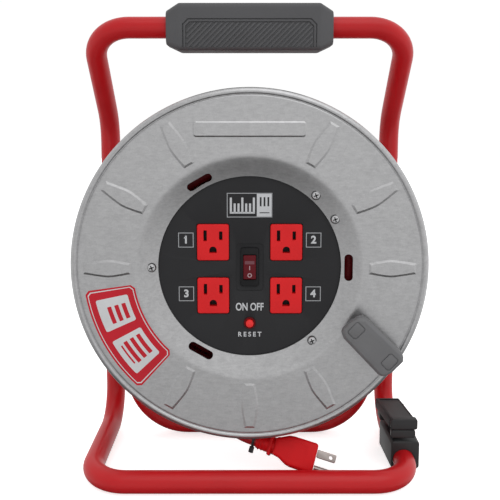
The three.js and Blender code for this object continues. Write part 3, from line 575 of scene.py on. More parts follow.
def block(name, size, middle, to=place):
    """A block with its middle at a point."""
    w, d, h = (length / 2 for length in size)
    x, y, z = middle
    sections = [
        [(x + i * w, y + j * d, z + k * h) for j, k in ((-1, -1), (1, -1), (1, 1), (-1, 1))]
        for i in (-1, 1)
    ]
    return loft(name, sections, to)


def join_meshes(first, rest):
    """Puts the meshes of several pieces into the first one."""
    mesh = bmesh.new()
    for piece in (first, *rest):
        mesh.from_mesh(piece.data)
    mesh.to_mesh(first.data)
    mesh.free()
    for piece in rest:
        bpy.data.objects.remove(piece)
    return first


# ---- Cord and its loose end ----
CORD_R = 5.1
TOP_TURN_R = 123.7
LAYER_R = 112.8
LAYER_PITCH = 10.8
LAYER_TURNS = 6
LAYER_FRONT_Y = 5.0
INNER_LAYER_RADII = (82.4, 92.4, 102.4)
INNER_TURNS = 5.8
INNER_FRONT_Y = 12.0
INNER_PITCH = 10.15
INNER_CORD_R = 5.0
CLIMB_TURNS = 0.5
EXIT_Y = 22.0
EXIT_ANGLE = math.radians(38.5)
EXIT_STRAIGHT = 52.5
EXIT_DIRECTION = Vector((math.cos(EXIT_ANGLE), 0.0, -math.sin(EXIT_ANGLE)))
TAIL_GAP = 0.3
TAIL_STRAIGHT = 1.0
TAIL_REACH = (13.0, 21.0)
PLUG_AT = Vector((55.9, 9.6, 15.0))
PLUG_TURN = (
    Matrix.Rotation(math.radians(-12.5), 3, "Z")
    @ Matrix.Rotation(math.radians(12.5), 3, "Y")
    @ Matrix.Rotation(math.radians(-30.0), 3, "X")
)
# Where the strain relief ends, measured from the plug's face
PLUG_TAIL = -52.0
PLUG_SIDES = 32
# On the plug: the blades' distance from its middle, their height and the earth pin's height
BLADE_X = 6.35
BLADE_Z = 4.6
EARTH_PIN_Z = -7.3


def winding_point(turns):
    """A point of the winding, a number of turns before its end, measured from the axis."""
    t = min(max((turns - 1.0) / CLIMB_TURNS, 0.0), 1.0)
    r = TOP_TURN_R + (LAYER_R - TOP_TURN_R) * t * t * (3 - 2 * t)
    if turns < 1.0:
        y = EXIT_Y + (LAYER_FRONT_Y - EXIT_Y) * turns
    else:
        y = LAYER_FRONT_Y + LAYER_PITCH * (turns - 1.0)
    a = EXIT_ANGLE + 2 * math.pi * turns
    return Vector((-r * math.sin(a), y, -r * math.cos(a)))


def on_plug(p):
    """A point measured from the plug's face as a point of the builders' frame."""
    return PLUG_TURN @ Vector(p) + PLUG_AT


def to_plug(p):
    return place(on_plug(p))


def bezier(a, b, c, d, count):
    points = []
    for i in range(count + 1):
        t = i / count
        s = 1 - t
        points.append(a * s**3 + b * (3 * s * s * t) + c * (3 * s * t * t) + d * t**3)
    return points


def tail_points():
    """The loose cord's route: from the drum to the plug, and on into its strain relief."""
    heading = PLUG_TURN @ Vector((1.0, 0.0, 0.0))
    start = on_drum(winding_point(0.0) + EXIT_DIRECTION * (EXIT_STRAIGHT + TAIL_GAP))
    end = on_plug((PLUG_TAIL - TAIL_GAP, 0.0, 0.0))
    first = start + EXIT_DIRECTION * TAIL_STRAIGHT
    last = end - heading * TAIL_STRAIGHT
    leaving = first + EXIT_DIRECTION * TAIL_REACH[0]
    arriving = last - heading * TAIL_REACH[1]
    bend = bezier(first, leaving, arriving, last, 18)
    inside = [on_plug((PLUG_TAIL + 4.0 * k, 0.0, 0.0)) for k in range(6)]
    return [start, *bend, end, *inside]


def plug_bar(name, start, length, radii, across=0.0):
    """A round bar along the plug whose radius follows (share of the way, radius) pairs."""
    heading, side, up = (PLUG_TURN @ Vector(axis) for axis in ((1, 0, 0), (0, 1, 0), (0, 0, 1)))
    first = on_plug((start, 0.0, across))
    verts = []
    for share, r in radii:
        verts += ring_points(first + heading * (share * length), side, up, r, PLUG_SIDES)
    last = (len(radii) - 1) * PLUG_SIDES
    faces = skin(0, len(radii), PLUG_SIDES)
    faces += [tuple(end + k for k in range(PLUG_SIDES)) for end in (0, last)]
    return outward(mesh_object(name, verts, faces))


def plug_shell():
    """The moulded plug: a blunt nose, a waist, a collar and a tapered, ribbed strain relief."""
    outline = [
        (0.0, -12.8), (0.0, 12.2), (-21.0, 12.2), (-25.5, 11.6), (-29.0, 9.9), (-32.5, 8.2),
        (-36.0, 7.6), (-36.0, -7.6), (-32.5, -7.7), (-29.5, -8.6), (-26.5, -10.2), (-23.5, -11.8),
        (-20.0, -12.6),
    ]
    body = slab("plug_shell", outline, -11.0, 11.0, to_plug)
    bevel(body, 2.6, 4)
    for side in (-1, 1):
        y0, y1 = sorted((side * 10.6, side * 12.0))
        hold = slab("hold", rounded(13.5, 17.0, 3.0, -15.5, -0.3), y0, y1, to_plug)
        combine(body, [hold])
    collar = slab("collar", rounded(3.0, 17.6, 1.4, -39.5, 0.0), -7.8, 7.8, to_plug)
    bevel(collar, 1.0, 3, angle=60.0)
    taper = [(0.0, 5.7), (0.04, 6.1), (1.0, 7.3)]
    sleeve = plug_bar("plug_sleeve", PLUG_TAIL, 18.0, taper)
    rings = []
    for k in range(3):
        shape = [(0.0, 6.2), (0.3, 6.9), (0.7, 6.9), (1.0, 6.3)]
        rings.append(plug_bar(f"plug_ring_{k}", PLUG_TAIL + 1.6 + 3.0 * k, 1.5, shape))
    combine(body, [collar, sleeve, *rings], "UNION")
    return finish_piece(body, PLUG_PLASTIC, "stand", "red_plastic", "plug_body", angle=40.0)


def blade_piece(name, y):
    outline = rounded(16.2, 6.35, 1.0, 8.4, BLADE_Z)
    strip = slab(name, outline, y - 0.75, y + 0.75, to_plug)
    bevel(strip, 0.25, 2, angle=60.0)
    combine(strip, [slab("hole", circle(1.6, 12.2, BLADE_Z, 32), y - 3, y + 3, to_plug)])
    return finish_piece(strip, NICKEL, "stand", "zinc", f"plug_{name}")


def earth_pin_piece():
    shape = [(0.0, 2.4), (0.86, 2.4), (0.94, 2.0), (0.985, 1.2), (1.0, 0.3)]
    pin = plug_bar("earth_pin", 0.3, 20.5, shape, EARTH_PIN_Z)
    return finish_piece(pin, NICKEL, "stand", "zinc", "plug_earth_pin")


def tie_piece():
    """A cable tie: a band round the cord and its lock below."""
    x = PLUG_TAIL - 2.5
    shape = [(0.0, 6.0), (0.15, 6.3), (0.85, 6.3), (1.0, 6.0)]
    band = plug_bar("tie_band", x - 1.0, 2.0, shape)
    combine(band, [plug_bar("bore", x - 4.0, 8.0, [(0.0, 5.35), (1.0, 5.35)])])
    lock = block("tie_lock", (4.0, 4.0, 5.5), (x, -1.0, -8.5), to_plug)
    bevel(lock, 0.7, 2)
    combine(band, [lock], "UNION")
    return finish_piece(band, BLACK_PLASTIC, "stand", "black_plastic", "cord_tie")


def add_cord_end():
    points = tail_points()
    cord = sweep("loose_cord", points, CORD_R, 24)
    finish_piece(cord, CORD_RED, "stand", "cord_jacket", "cord_tail")
    pieces = [
        plug_shell(),
        blade_piece("blade_front", -BLADE_X),
        blade_piece("blade_rear", BLADE_X),
        earth_pin_piece(),
        tie_piece(),
    ]


# ---- Stand ----
TUBE_R = 9.0
FRAME_X = 133.25
FRONT_BAR_Y = -16.0
LEG_Y = 115.0
HANDLE_Y = 42.0
HANDLE_Z = 378.6


def add_tubes():
    for name, side in (("left", -1), ("right", 1)):
        x = side * FRAME_X
        corners = [
            (0.0, FRONT_BAR_Y, TUBE_R),
            (x, FRONT_BAR_Y, TUBE_R),
            (x, LEG_Y, TUBE_R),
            (x, LEG_Y, 298.0),
            (x, HANDLE_Y, HANDLE_Z),
            (0.0, HANDLE_Y, HANDLE_Z),
        ]
        tube = sweep(f"tube_{name}", bent_line(corners, [32, 32, 45, 32], 18), TUBE_R, 40)
        finish_piece(tube, RED_PAINT, "stand", "red_paint", f"frame_{name}")
    corners = [(-109, 92.4, 203), (-109, 92.4, 9), (109, 92.4, 9), (109, 92.4, 203)]
    foot = sweep("foot_tube", bent_line(corners, [50, 50], 24), TUBE_R, 40, bore=7.7)
    finish_piece(foot, RED_PAINT, "stand", "red_paint", "rear_foot")


# Along the handle, half depth, lowest and highest
GRIP_SECTIONS = [
    (-69.0, 12.5, -15.0, 12.3),
    (-58.0, 17.5, -20.0, 18.3),
    (58.0, 17.5, -20.0, 18.3),
    (69.0, 12.5, -15.0, 12.3),
]
FIELD_LOW = -17.5


def to_grip(p):
    return place(Vector(p) + Vector((0.0, HANDLE_Y, HANDLE_Z)))


def field_outline(inset, low=FIELD_LOW):
    """The grip's ribbed field, with clipped upper corners."""
    half, top, corner = 55.0 - inset, 5.5 - inset, 4.6 - 0.4 * inset
    return [
        (-half, low), (half, low), (half, top - corner), (half - corner, top),
        (-half + corner, top), (-half, top - corner),
    ]


def grip_block():
    """The grip's body, whose four sides all slant in towards its ends."""
    sections = []
    for x, half, low, high in GRIP_SECTIONS:
        outline = rounded(2 * half, high - low, 4.5, 0.0, (low + high) / 2, 8)
        sections.append([(x, y, z) for y, z in outline])
    body = loft("grip", sections, to_grip)
    return bevel(body, 1.0, 3, angle=14.0)


def grip_field(side):
    """The raised border and the slanting ribs on one face of the grip."""
    y0, y1 = sorted((side * 16.0, side * 17.4))
    border = slab("border", field_outline(0.9), y0, y1, to_grip)
    inner = slab("inner", field_outline(2.6, -30.0), -20.0, 20.0, to_grip)
    combine(border, [inner])
    bevel(border, 0.3, 2, angle=60.0)
    y0, y1 = sorted((side * 16.0, side * 17.2))
    ribs = []
    for k in range(30):
        x = -74.0 + 4.45 * k
        outline = [(x, -17.6), (x + 2.1, -17.6), (x + 22.6, 2.9), (x + 20.5, 2.9)]
        ribs.append(slab("rib", outline, y0, y1, to_grip))
    ribs = join_meshes(ribs[0], ribs[1:])
    area = slab("area", field_outline(3.3), -20.0, 20.0, to_grip)
    combine(ribs, [area], "INTERSECT")
    bevel(ribs, 0.4, 2)
    return join_meshes(border, [ribs])


def add_grip():
    """The rubber grip, with a bordered field of slanting ribs on its front and back."""
    body = grip_block()
    recesses = [
        slab("field", field_outline(0.0), *sorted((side * 16.3, side * 18.6)), to_grip)
        for side in (-1, 1)
    ]
    combine(body, recesses)
    finish_piece(body, GREY_RUBBER, "stand", "grey_rubber", "handle_grip", angle=35.0)
    for side, name in ((-1, "grip_field_front"), (1, "grip_field_back")):
        field = grip_field(side)
        field.name = name
        finish_piece(field, GREY_RUBBER, "stand", "grey_rubber")


# ---- Drum: sheet metal ----
RIB_ANGLES = [0, 30, 60, 120, 150, 180, 240, 270, 300]
SLOT_ANGLES = [0, 120, 240]
SCREW_ANGLES = [180, 48, 30, -50]
SCREW_R = 79.4
SCREW_TURN = 20.0
RIB_OUTLINE = [
    (96.0, -4.5), (103.0, -5.8), (110.0, -6.9), (114.0, -7.2), (118.0, -6.9), (126.0, -5.7),
    (134.2, -4.4),
]
RIB_SLOPE = 1.7
FRONT_RIB_YS = (-2.4, -3.0, -3.75)
REAR_RIB_YS = (77.2, 77.8, 78.9)
WELL_PROFILE = [
    (74.4, 3.0), (74.9, 2.85), (82.0, 0.25), (86.5, -1.4), (89.0, -2.3), (90.4, -2.72),
    (91.6, -2.93), (93.0, -3.0), (93.8, -3.0),
]
FRONT_RIM = [
    (136.6, -3.0), (137.4, -3.0), (138.3, -2.95), (138.9, -2.6), (139.3, -2.2),
    (139.7, -2.25), (140.1, -2.8), (140.6, -3.2), (141.3, -3.35), (142.0, -3.3),
    (142.8, -2.95), (143.6, -2.4), (144.3, -1.7), (144.8, -0.9), (145.0, 0.0), (145.0, 1.4),
    (144.5, 2.8), (143.4, 3.8), (141.9, 4.2), (140.2, 3.9), (139.0, 2.9),
]
SHEET_BACK = [(137.2, 0.4), (136.0, -1.8), (94.0, -1.8), (90.6, -1.5), (86.5, 0.0), (74.4, 4.2)]
REAR_INNER = [(14.5, 76.6), (60.0, 76.6), (94.0, 76.6)]
REAR_RIM = [
    (136.0, 76.6), (141.5, 76.3), (142.3, 75.2), (142.7, 73.8), (143.6, 72.9), (145.0, 72.6),
    (146.2, 73.3), (147.0, 74.7), (147.0, 77.6), (146.2, 79.1), (144.9, 79.8), (143.2, 79.6),
    (142.0, 78.6), (140.6, 77.9),
]
REAR_BACK = [(139.6, 77.8), (136.0, 77.8), (94.0, 77.8), (60.0, 77.8), (14.5, 77.8)]


def rotated(outline, angle):
    a = math.radians(angle)
    c, s = math.cos(a), math.sin(a)
    return [(x * c - z * s, x * s + z * c) for x, z in outline]


def pressed_form(foot, top, ys):
    """A low form with sloping sides: its foot's outline, its top's outline and three depths."""
    sections = [[(x, y, z) for x, z in shape] for shape, y in zip((foot, foot, top), ys)]
    return loft("form", sections, to_drum)


def rib_outline(inset):
    half = [(x, z + inset) for x, z in RIB_OUTLINE]
    half[0] = (half[0][0] + inset, half[0][1])
    half[-1] = (half[-1][0] - inset, half[-1][1])
    return half + [(x, -z) for x, z in reversed(half)]


def add_ribs(name, angles, ys, *others):
    """The ribs pressed into one flange, with any other pressed forms."""
    forms = [
        pressed_form(rotated(rib_outline(0.0), angle), rotated(rib_outline(RIB_SLOPE), angle), ys)
        for angle in angles
    ]
    ribs = join_meshes(forms[0], [*forms[1:], *others])
    ribs.name = name
    finish_piece(ribs, GALVANISED, "drum", "galvanised", angle=12.0)


def add_front_flange():
    """The pressed front flange: a rolled rim, a well, ribs, a plain field and three slots."""
    piece = turned("front_sheet", WELL_PROFILE + FRONT_RIM + SHEET_BACK, 360)
    slots = [rotated(rounded(6.6, 22.0, 3.29, 80.2, 0.0, 8), angle) for angle in SLOT_ANGLES]
    combine(piece, [drum_slab("slot", outline, -8.0, 12.0) for outline in slots])
    finish_piece(piece, GALVANISED, "drum", "galvanised", "front_flange", angle=40.0)
    foot = rounded(90.0, 12.5, 3.0, 0.0, 112.0)
    field = pressed_form(foot, rounded(87.6, 10.1, 1.8, 0.0, 112.0), FRONT_RIB_YS)
    add_ribs("front_ribs", RIB_ANGLES, FRONT_RIB_YS, field)


def add_rear_flange():
    piece = turned("rear_sheet", REAR_INNER + REAR_RIM + REAR_BACK, 360)
    finish_piece(piece, GALVANISED, "drum", "galvanised", "rear_flange", angle=40.0)
    add_ribs("rear_ribs", range(0, 360, 60), REAR_RIB_YS)


def well_y(r):
    """The depth of the well's front face at a radius."""
    return 3.0 - (r - 74.4) * 0.342


def add_screws():
    """Pan-head screws with a cross recess. A black ring under each head is painted shadow round
    it, and black bars in the recess are painted shade.
    """
    y = well_y(SCREW_R)
    dome = [(3.2, y - 1.0), (3.2, y - 1.5), (2.8, y - 2.1), (1.8, y - 2.4), (0.0, y - 2.5)]
    shank = [(0.0, 4.6), (2.2, 4.6), (2.2, y - 1.0)]
    for i, angle in enumerate(SCREW_ANGLES, 1):
        a = math.radians(angle)
        x, z = SCREW_R * math.cos(a), SCREW_R * math.sin(a)
        screw = turned(f"screw_{i}", shank + dome, 40, (x, z))
        recess = []
        for turn in (SCREW_TURN, SCREW_TURN + 90.0):
            bar = rotated([(-2.0, -0.5), (2.0, -0.5), (2.0, 0.5), (-2.0, 0.5)], turn)
            outline = [(x + p, z + q) for p, q in bar]
            combine(screw, [drum_slab("recess", outline, y - 5.0, y - 1.5)])
            # Black bars at the bottom of the cross recess: painted shade in the recess.
            recess.append(drum_slab("screw_recess_painted_shade", outline, y - 1.9, y - 1.2))
        finish_piece(screw, ZINC, "drum", "zinc", f"flange_screw_{i}")
        # A black ring a little wider than the head: painted shadow round the screw head.
        painted_shadow_ring = [(0.0, y), (3.75, y), (3.75, y - 1.1), (0.0, y - 1.1)]
        painted_shadow_ring = turned(f"screw_painted_shadow_ring_{i}", painted_shadow_ring, 40, (x, z))
        finish_piece(join_meshes(painted_shadow_ring, recess), BLACK_PLASTIC, "drum", "zinc")


def add_winding():
    """The outer layer of cord with its last turn on top, over three more layers in a darker copy
    of the jacket, which is painted shade.
    """
    steps = 72
    count = (1 + LAYER_TURNS) * steps
    points = [winding_point(i / steps) for i in range(count, -1, -1)]
    ahead = (points[0] - points[1]).normalized()
    points.insert(0, points[0] + ahead * 2 * CORD_R)
    points.append(points[-1] + EXIT_DIRECTION * EXIT_STRAIGHT)
    cord = sweep("wound_cord", [on_drum(p) for p in points], CORD_R, 16)
    finish_piece(cord, CORD_RED, "drum", "cord_jacket", "cord_outer_layer")

    layers = [inner_layer(r) for r in INNER_LAYER_RADII]
    inner = join_meshes(layers[0], layers[1:])
    inner.name = "wound_cord_inner"
    finish_piece(inner, CORD_PAINTED_SHADE, "drum", "cord_jacket", "cord_core")
    barrel = turned("drum_barrel", [(76.0, 4.5), (77.2, 4.5), (77.2, 76.3), (76.0, 76.3)])
    finish_piece(barrel, GALVANISED, "drum", "galvanised", "barrel")


def inner_layer(r):
    """One closely wound layer of cord between the flanges."""
    steps = 60
    points = []
    for i in range(int(INNER_TURNS * steps) + 1):
        a = 2 * math.pi * i / steps
        y = INNER_FRONT_Y + INNER_PITCH * i / steps
        points.append(on_drum((r * math.sin(a), y, -r * math.cos(a))))
    return sweep("layer", points, INNER_CORD_R, 12)


# ---- Drum: panel ----
PANEL_Y = 4.6
SOCKET_PLACES = [(-29.8, 20.2), (29.8, 20.2), (-29.8, -24.1), (29.8, -24.1)]
SWITCH_Z = -0.4
RESET_Z = -47.2
EARTH_HOLE_R = 3.0
MARK_RISE = 0.12
MARK_SINK = 0.05
TEXT_Y = PANEL_Y - 0.06
TEXT_THICK = 0.00006


def add_panel():
    profile = [(0.0, PANEL_Y), (75.0, PANEL_Y), (75.6, 5.2), (75.6, 7.2), (0.0, 7.2)]
    panel = turned("panel", profile, 160)
    cutters = [
        drum_slab("hole", rounded(26.9, 30.8, 2.0, x, z), 3.0, 9.0) for x, z in SOCKET_PLACES
    ]
    cutters.append(drum_slab("pocket", rounded(22.7, 39.5, 3.0, 0.0, SWITCH_Z), 3.0, 5.6))
    cutters.append(drum_slab("hole", rounded(12.0, 29.0, 1.0, 0.0, SWITCH_Z), 3.0, 9.0))
    cutters.append(drum_slab("hole", circle(4.9, 0.0, RESET_Z), 3.0, 9.0))
    combine(panel, cutters)
    bevel(panel, 0.35, 2, angle=60.0)
    finish_piece(panel, PANEL_PLASTIC, "drum", "black_plastic", "socket_panel")


def earth_hole(x, z):
    """The outline of an earth hole: a half circle above a short flat-bottomed part."""
    r = EARTH_HOLE_R
    arc = [math.pi * i / 12 for i in range(13)]
    foot = [(x - r, z - 2.4), (x + r, z - 2.4)]
    return foot + [(x + r * math.cos(a), z + r * math.sin(a)) for a in arc]


def add_outlets():
    for i, (x, z) in enumerate(SOCKET_PLACES, 1):
        face = drum_slab(f"outlet_face_{i}", rounded(25.9, 29.8, 1.8, x, z), 3.6, 26.0)
        bevel(face, 0.7, 3)
        holes = [
            rounded(2.8, 9.0, 0.4, x - BLADE_X, z + 5.4, 3),
            rounded(2.8, 7.3, 0.4, x + BLADE_X, z + 5.4, 3),
            earth_hole(x, z - 6.4),
        ]
        combine(face, [drum_slab("slot", outline, 2.0, 17.0) for outline in holes])
        finish_piece(face, RED_PLASTIC, "drum", "red_plastic", f"outlet_{i}")
        inside = drum_slab(f"outlet_inside_{i}", rounded(20.0, 22.0, 1.0, x, z), 9.0, 10.4)
        finish_piece(inside, SWITCH_PLASTIC, "drum", "black_plastic")


def frame_marks(x, z, w, h, t):
    """The four bars of a printed box."""
    return [
        rounded(w, t, 0.05, x, z + h / 2 - t / 2, 1),
        rounded(w, t, 0.05, x, z - h / 2 + t / 2, 1),
        rounded(t, h - 2 * t, 0.05, x - w / 2 + t / 2, z, 1),
        rounded(t, h - 2 * t, 0.05, x + w / 2 - t / 2, z, 1),
    ]


def text_piece(name, text, size, at, material, body, bold, squeeze=1.0, tilt=0.0):
    """Printed characters, made into a thin mesh."""
    slot = "red_plastic" if body == "rocker" else "black_plastic"
    curve = bpy.data.curves.new(name, "FONT")
    curve.body = text
    curve.size = size * MM
    curve.align_x = "CENTER"
    curve.align_y = "CENTER"
    curve.extrude = TEXT_THICK
    curve.offset = bold * MM
    source = bpy.data.objects.new(name, curve)
    bpy.context.scene.collection.objects.link(source)
    source.rotation_euler = (math.pi / 2 - math.radians(tilt), 0.0, 0.0)
    source.scale.x = squeeze
    source.location = to_drum(at)
    bpy.context.view_layer.update()
    graph = bpy.context.evaluated_depsgraph_get()
    mesh = bpy.data.meshes.new_from_object(source.evaluated_get(graph))
    mesh.transform(source.matrix_world)
    bpy.data.objects.remove(source)
    piece = bpy.data.objects.new(name, mesh)
    bpy.context.scene.collection.objects.link(piece)
    finish_piece(piece, material, body, slot)


def add_marks():
    """The outlets' numbers in their boxes, a ruled box above, and the switch's words."""
    lines, solid, dark = [], [], []
    for i, (x, z) in enumerate(SOCKET_PLACES, 1):
        mark_x = -51.8 if x < 0 else 52.0
        mark_z = z + (1.8 if z > 0 else 1.4)
        lines += frame_marks(mark_x, mark_z, 12.4, 12.2, 0.55)
        text_piece(f"number_{i}", str(i), 8.6, (mark_x, TEXT_Y, mark_z), INK, "drum", 0.3)
    # The slanting tip of the number 1
    x, z = -51.8, SOCKET_PLACES[0][1] + 1.8
    solid.append([(x - 0.3, z + 2.9), (x - 1.5, z + 2.1), (x - 1.5, z + 1.1), (x - 0.3, z + 1.8)])
    lines += frame_marks(0.0, 50.6, 36.8, 19.9, 0.55)
    solid.append(rounded(12.4, 19.3, 0.1, 12.0, 50.6, 1))
    for k in range(7):
        height = 12.0 if k % 3 == 0 else 7.2
        solid.append(rounded(1.7, height, 0.1, -15.2 + 3.1 * k, 44.8 + height / 2, 1))
    solid.append(rounded(20.3, 1.3, 0.1, -5.9, 44.4, 1))
    dark += [rounded(1.4, 7.5, 0.1, 8.9 + 3.1 * k, 53.4, 1) for k in range(3)]
    dark.append(rounded(8.0, 0.7, 0.1, 12.0, 44.4, 1))
    for name, bars, ink, y in (
        ("panel_lines", lines, LINE_INK, PANEL_Y),
        ("panel_blocks", solid, INK, PANEL_Y),
        ("panel_dark_marks", dark, PANEL_PLASTIC, PANEL_Y - 0.05),
    ):
        pieces = [drum_slab("mark", bar, y - MARK_RISE, y + MARK_SINK) for bar in bars]
        marks = join_meshes(pieces[0], pieces[1:])
        marks.name = name
        finish_piece(marks, ink, "drum", "black_plastic")
    text_piece("switch_words", "ON OFF", 8.8, (0.0, TEXT_Y, -33.9), INK, "drum", 0.2, 0.72)
    text_piece("reset_word", "R E S E T", 5.4, (0.0, TEXT_Y, -57.0), INK, "drum", 0.15, 0.95)


def add_switch():
    housing = drum_slab("switch_frame", rounded(14.2, 31.7, 1.5, 0.0, SWITCH_Z), 3.8, 5.3)
    bevel(housing, 0.4, 2)
    cutter = drum_slab("hole", rounded(10.9, 21.2, 0.6, 0.0, SWITCH_Z), 2.0, 14.0)
    body = drum_slab("switch_body", rounded(11.2, 28.6, 0.8, 0.0, SWITCH_Z), 5.2, 28.9)
    combine(housing, [body], "UNION")
    combine(housing, [cutter])
    finish_piece(housing, SWITCH_PLASTIC, "drum", "black_plastic", "switch_housing")

    side = [
        (9.9, -1.2), (5.0, -1.35), (0.0, -1.6), (-5.0, -2.15), (-9.5, -3.0),
        (-9.7, 1.6), (-3.0, 5.6), (3.0, 5.6), (9.7, 1.6),
    ]
    sections = [[(x, PANEL_Y + y, SWITCH_Z + z) for z, y in side] for x in (-5.1, 5.1)]
    key = loft("rocker_key", sections, to_drum)
    bevel(key, 0.5, 3, angle=40.0)
    finish_piece(key, ROCKER_PLASTIC, "rocker", "red_plastic", "switch_rocker", angle=25.0)
    # A pale strip across the rocker's upper face: painted highlight.
    y = PANEL_Y - 1.37
    band = drum_slab("rocker_painted_highlight_band", rounded(7.8, 2.8, 0.6, 0.0, SWITCH_Z + 3.9), y - 0.1, y + 0.3)
    finish_piece(band, ROCKER_PAINTED_HIGHLIGHT, "rocker", "red_plastic")
    for name, letter, rise, drop, tilt in (
        ("rocker_on", "I", 1.8, 0.6, 6.3), ("rocker_off", "O", 2.6, 6.5, 10.7),
    ):
        at = (0.0, PANEL_Y - rise, SWITCH_Z - drop)
        text_piece(name, letter, 4.6, at, ROCKER_INK, "rocker", 0.12, tilt=tilt)


def add_reset():
    ring = [(3.6, 4.3), (3.6, 3.7), (3.9, 3.4), (4.5, 3.4), (4.8, 3.8), (4.8, 4.3)]
    collar = turned("reset_ring", ring, 48, (0.0, RESET_Z))
    finish_piece(collar, DARK_RED_PLASTIC, "drum", "black_plastic", "reset_collar")
    top = [(0.0, 1.4), (2.3, 1.45), (3.0, 1.8), (3.3, 2.5), (3.3, 11.6), (0.0, 11.6)]
    button = turned("reset_key", top, 40, (0.0, RESET_Z))
    finish_piece(button, RESET_PLASTIC, "reset", "red_plastic", "reset_button")


# ---- Crank ----
CRANK_AT = Vector((112.1, 0.0, -73.8))
CRANK_TURN = 135.8


def to_crank(p):
    """A point drawn along the crank from its pin as a point of the model."""
    x, z = rotated([(p[0], p[2])], CRANK_TURN)[0]
    return to_drum(Vector((x, p[1], z)) + CRANK_AT)


def add_crank():
    """The folding knob: chamfered all round, with two raised pads and a finger hold behind."""
    outline = [
        (-5.2, -8.4), (-2.8, -11.3), (0.4, -12.8), (40.5, -12.8), (43.6, -11.5), (45.6, -9.0),
        (47.5, -1.8), (47.5, 6.2), (46.0, 8.8), (42.1, 11.0), (1.8, 12.8), (-1.4, 11.9),
        (-3.6, 9.6), (-5.2, 4.4),
    ]
    knob = slab("crank_shell", outline, -22.0, -7.0, to_crank)
    bevel(knob, 2.2, 1, angle=60.0)
    bevel(knob, 0.5, 3, angle=15.0)
    opening = slab("slot", rounded(19.0, 9.6, 0.2, -3.5, 0.0, 1), -18.4, 0.0, to_crank)
    wedge = [(26.5, -7.0), (56.5, -18.5), (56.5, 2.0), (26.5, 2.0)]
    hold = loft("hold", [[(x, y, z) for x, y in wedge] for z in (-20.0, 20.0)], to_crank)
    combine(knob, [opening, hold])
    for x, z in ((40.1, -0.7), (3.3, -1.0)):
        groove = slab("groove", rounded(10.0, 12.5, 2.4, x, z), -22.6, -21.3, to_crank)
        pad = slab("pad", rounded(8.4, 10.9, 1.7, x, z), -22.0, -20.8, to_crank)
        bevel(pad, 0.3, 2, angle=60.0)
        combine(knob, [groove])
        combine(knob, [pad], "UNION")
    finish_piece(knob, GREY_PLASTIC, "crank", "grey_plastic", "crank_knob", angle=30.0)


# ---- Cord guide ----
JAW_LEAN = -0.11


def guide_section(width, height, r, x, z, y, lean=0.0):
    """A section of the guide at depth y, moved sideways in step with its distance back."""
    shift = lean * (y - 20.0)
    return [(px + shift, y, pz) for px, pz in rounded(width, height, r, x, z)]


def add_guide():
    """The guide's rail block and its jaw, whose left sides lean out towards the back."""
    x = FRAME_X
    front = guide_section(24.6, 25.0, 3.0, x + 1.45, 13.0, 20.0)
    back = guide_section(26.6, 25.0, 3.0, x + 0.45, 13.0, 64.0)
    base = loft("guide_block", [front, back], place)
    bevel(base, 1.3, 3)
    post = block("post", (10.0, 7.0, 19.5), (x, 59.0, 31.8))
    combine(base, [post], "UNION")
    bore = slab("bore", circle(9.3, x, 9.0, 40), 18.0, 66.0)
    mouth = block("mouth", (15.0, 46.0, 6.0), (x, 42.0, 1.0))
    combine(base, [bore, mouth])
    finish_piece(base, BLACK_PLASTIC, "stand", "black_plastic", "cord_guide_base")

    lid = [guide_section(22.0, 9.0, 1.4, x - 1.0, 41.0, y, JAW_LEAN) for y in (23.5, 65.0)]
    jaw = loft("guide_lid", lid, place)
    bevel(jaw, 0.7, 2)
    tray = [guide_section(17.6, 4.0, 0.6, x - 0.2, 46.8, y, JAW_LEAN) for y in (26.6, 62.6)]
    combine(jaw, [loft("tray", tray, place)])
    upper = slab("lip", rounded(23.0, 9.3, 2.0, x, 40.85), 19.5, 25.5)
    bevel(upper, 0.8, 3, angle=60.0)
    lower = slab("lip", rounded(21.0, 7.0, 1.8, x - 0.6, 32.1), 19.9, 25.3)
    bevel(lower, 0.8, 3, angle=60.0)
    neck = block("neck", (17.0, 3.6, 5.0), (x - 0.6, 23.2, 36.0))
    cheeks = block("cheeks", (24.0, 13.0, 11.0), (x - 3.0, 57.5, 35.5))
    bevel(cheeks, 1.0, 2)
    combine(jaw, [upper, lower, neck, cheeks], "UNION")
    gap = block("gap", (10.6, 15.0, 23.0), (x, 60.2, 32.0))
    combine(jaw, [gap])
    finish_piece(jaw, BLACK_PLASTIC, "guide_jaw", "black_plastic", "cord_guide_jaw")


# ---- Label ----
LABEL_Y = -3.1
LABEL_STEP = 0.03
LABEL_BACK = -2.95


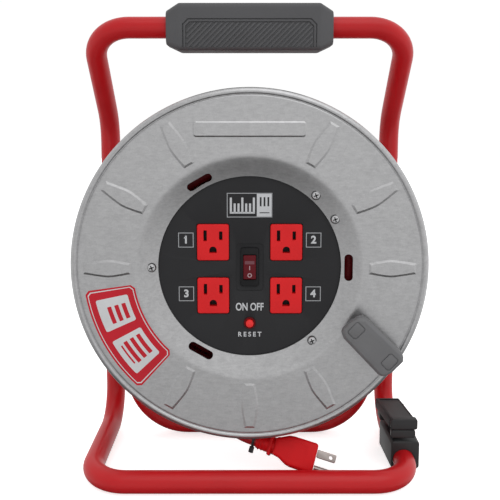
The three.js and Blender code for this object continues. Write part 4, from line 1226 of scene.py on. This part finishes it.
def add_label():
    """A plain label in two colours that follows the flange's rim, with bars for its lines."""
    layers = [
        ("label_field", LABEL_RED, [sector(94.0, 134.5, 188.0, 227.8, 3.0)]),
        ("label_line", LABEL_WHITE, [sector(95.5, 133.0, 188.7, 227.1, 2.4)]),
        ("label_middle", LABEL_RED, [sector(96.2, 132.3, 189.1, 226.7, 2.2)]),
        ("label_blocks", LABEL_WHITE, [
            sector(101.0, 127.5, 192.0, 204.5, 1.0), sector(101.0, 127.5, 208.5, 223.5, 1.0),
        ]),
        ("label_bars", LABEL_RED, [
            sector(r, r + 3.4, a0, a1, 0.3)
            for a0, a1 in ((195.5, 202.5), (210.8, 220.8)) for r in (104.5, 110.5, 116.5)
        ] + [sector(121.8, 123.2, 211.5, 220.0, 0.2)]),
    ]
    for k, (name, finish, outlines) in enumerate(layers):
        front = LABEL_Y - LABEL_STEP * k
        parts = [drum_slab(name, outline, front, LABEL_BACK) for outline in outlines]
        finish_piece(join_meshes(parts[0], parts[1:]), finish, "drum", "galvanised")


def sector(r0, r1, a0, a1, corner):
    """A band between two radii and two angles, with clipped corners."""
    def at(r, a):
        return r * math.cos(math.radians(a)), r * math.sin(math.radians(a))

    inner, outer = math.degrees(corner / r0), math.degrees(corner / r1)
    shares = [i / 16 for i in range(17)]
    return [
        *(at(r0, a0 + inner + (a1 - a0 - 2 * inner) * share) for share in shares),
        at(r0 + corner, a1), at(r1 - corner, a1),
        *(at(r1, a1 - outer - (a1 - a0 - 2 * outer) * share) for share in shares),
        at(r1 - corner, a0), at(r0 + corner, a0),
    ]


def add_kept_finishes():
    """Finishes of the model's own nodes that stay in view."""
    finishes = {
        RED_PAINT: ["axle_cross_plate"],
        GALVANISED: ["hub_plate"],
        ZINC: [
            "handle_joint_spigot", "foot_joint_spigot", "foot_bolt_left", "foot_bolt_right",
            "axle", "axle_nut", "axle_washer", "axle_circlip", "cord_guide_pin", "crank_pin",
            *[f"plate_bolt_{i}" for i in range(1, 5)],
            *[f"plate_nut_{i}" for i in range(1, 5)],
        ],
        BLACK_PLASTIC: ["back_cover", "breaker_body", "cord_gland"],
        GREY_PLASTIC: ["crank_base"],
        BRASS: ["neutral_bus_bar", "earth_bus_bar", "live_bus_bar"],
        NYLON: ["front_bush", "rear_bush"],
    }
    for material, names in finishes.items():
        for name in names:
            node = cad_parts[name]
            node.data.materials.clear()
            node.data.materials.append(material)


add_camera()
add_cord_end()
add_studio()
add_tubes()
add_grip()
add_front_flange()
add_rear_flange()
add_screws()
add_winding()
add_panel()
add_outlets()
add_marks()
add_switch()
add_reset()
add_crank()
add_guide()
add_label()
add_kept_finishes()
